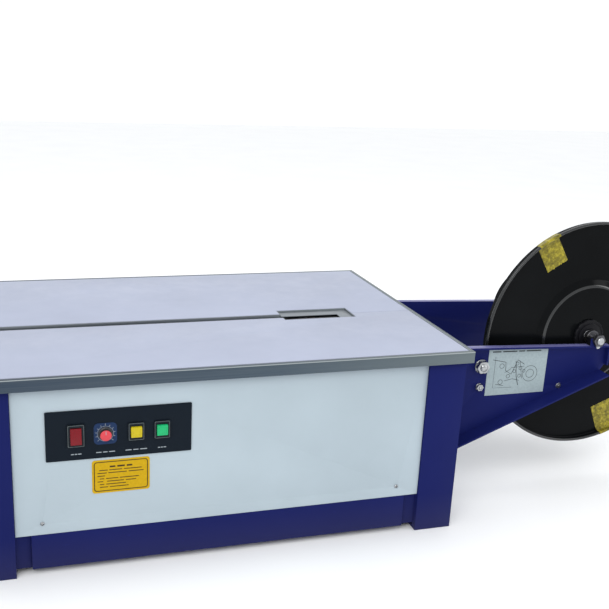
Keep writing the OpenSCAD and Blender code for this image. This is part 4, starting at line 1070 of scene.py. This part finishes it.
def cabinet_pieces():
    """The cabinet, table and arms; each number is a rounding width in mm."""
    for node, width in (("front_legs", 0.9), ("rear_legs", 0.9), ("bottom_rails", 0.8), ("front_panel", 1.0),
                        ("rear_panel", 0.8), ("left_panel", 1.0), ("right_end_plate", 0.6),
                        ("base_plate", 0.4), ("front_table_plate", 0.9), ("rear_table_plate", 0.9),
                        ("head_cover_plate", 0.35), ("arm_bolts", 0.5), ("control_box", 1.2),
                        ("cable_gland", 0.4), ("reel_brake", 0.4), ("guide_roller", 0.8)):
        rounded_copy(node, width * MM)
    for node in ("front_reel_arm", "rear_reel_arm"):
        arm_piece(node)
    rounded_copy("head_surround", 0.35 * MM, SURROUND_STEEL)
    table_trim_piece()
    channel_piece()
    panel_screw_pieces()
    for node in ("table_frame", "table_pivot_pins", "switch_bodies"):
        dress(node)


# ---------------------------------------------------------------- mechanism
def motor_piece():
    """A finned motor body with end bells, a foot and a terminal box."""
    low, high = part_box("drive_motor")
    spot = frame_point("motor_spin")
    y0, y1 = low.y + 6 * MM, high.y
    radius = 58 * MM
    fin, fins = (0, 0, 0, 0.75, 1, 1, 0.75, 0), 40
    front = [(0, 24, 0), (1, 26, 0), (3, 48, 0), (12, 55, 0), (22, 57, 0), (24, 50, 0), (26, 50, 7.6)]
    back = [(46, 50, 7.6), (44, 50, 0), (42, 57.6, 0), (6, 57.6, 0), (0, 52, 0)]
    levels = [(y0 + t * MM, core, depth) for t, core, depth in front]
    levels += [(y1 - t * MM, core, depth) for t, core, depth in back]
    bm = loft([ring_xz(spot.x, spot.z, y, [(core + depth * share) * MM for share in fin * fins])
               for y, core, depth in levels])
    merge(bm, rod(spot.x, spot.z, radius * 0.45, low.y, y0 + 2 * MM))

    def block(x, half, y_low, y_high, z_low, z_high, edge=1.5 * MM):
        merge(bm, box_mesh(x - half, x + half, y_low, y_high, z_low, z_high, edge))

    block(spot.x, radius * 0.8, y0 + 25 * MM, y1 - 45 * MM, low.z, low.z + 10 * MM)
    for leg_x in (spot.x - 34 * MM, spot.x + 34 * MM):
        block(leg_x, 6 * MM, y0 + 30 * MM, y1 - 50 * MM, low.z + 8 * MM, spot.z - 38 * MM)
    lid_z = high.z - 4 * MM
    block(spot.x, 30 * MM, y0 + 40 * MM, y0 + 110 * MM, spot.z + 48 * MM, lid_z)
    block(spot.x, 31 * MM, y0 + 39 * MM, y0 + 111 * MM, lid_z, high.z, MM)
    add_piece(bm, "motor_finned", "motor_blue", ("drive_motor",), smooth=40)


def gearbox_bolts():
    """Four hex bolts with washers on the gearbox's front cover."""
    low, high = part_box("gearbox")
    thick = 1.2 * MM
    bm = bmesh.new()
    for x in (low.x + 10 * MM, low.x + 62 * MM):
        for z in (high.z - 110 * MM, high.z - 10 * MM):
            merge(bm, washer(Vector((x, low.y, z)), -1, 6.5 * MM, thick))
            merge(bm, hex_head(Vector((x, low.y - thick, z)), -1, 10 * MM, 5 * MM))
    add_piece(bm, "gearbox_bolts", "zinc")


def mechanism_pieces():
    """The drive, the sealing head and the feed; each number is a rounding width in mm."""
    for node, width in (("gearbox", 2.0), ("gearbox_pulley", 0.6), ("motor_pulley", 0.6), ("camshaft", 0.6),
                        ("head_block", 0.6), ("left_gripper", 0.5), ("middle_press", 0.5),
                        ("right_gripper", 0.5), ("slide_anvil", 0.4), ("heater_blade", 0.3),
                        ("head_side_plates", 0.6), ("feed_frame", 0.6), ("feed_roller", 0.6),
                        ("pinch_roller", 0.8), ("strap_pool", 0.4)):
        rounded_copy(node, width * MM)
    dress("drive_belt")
    motor_piece()
    gearbox_bolts()


# ---------------------------------------------------------------- build
bpy.context.scene.view_settings.view_transform = "Standard"
make_camera()
make_floor()
make_lights()
cabinet_pieces()
mechanism_pieces()
control_pieces()
caution_label()
threading_label()
guide_shaft_pieces()
axle_pieces()
reel_pieces()
brake_screw()
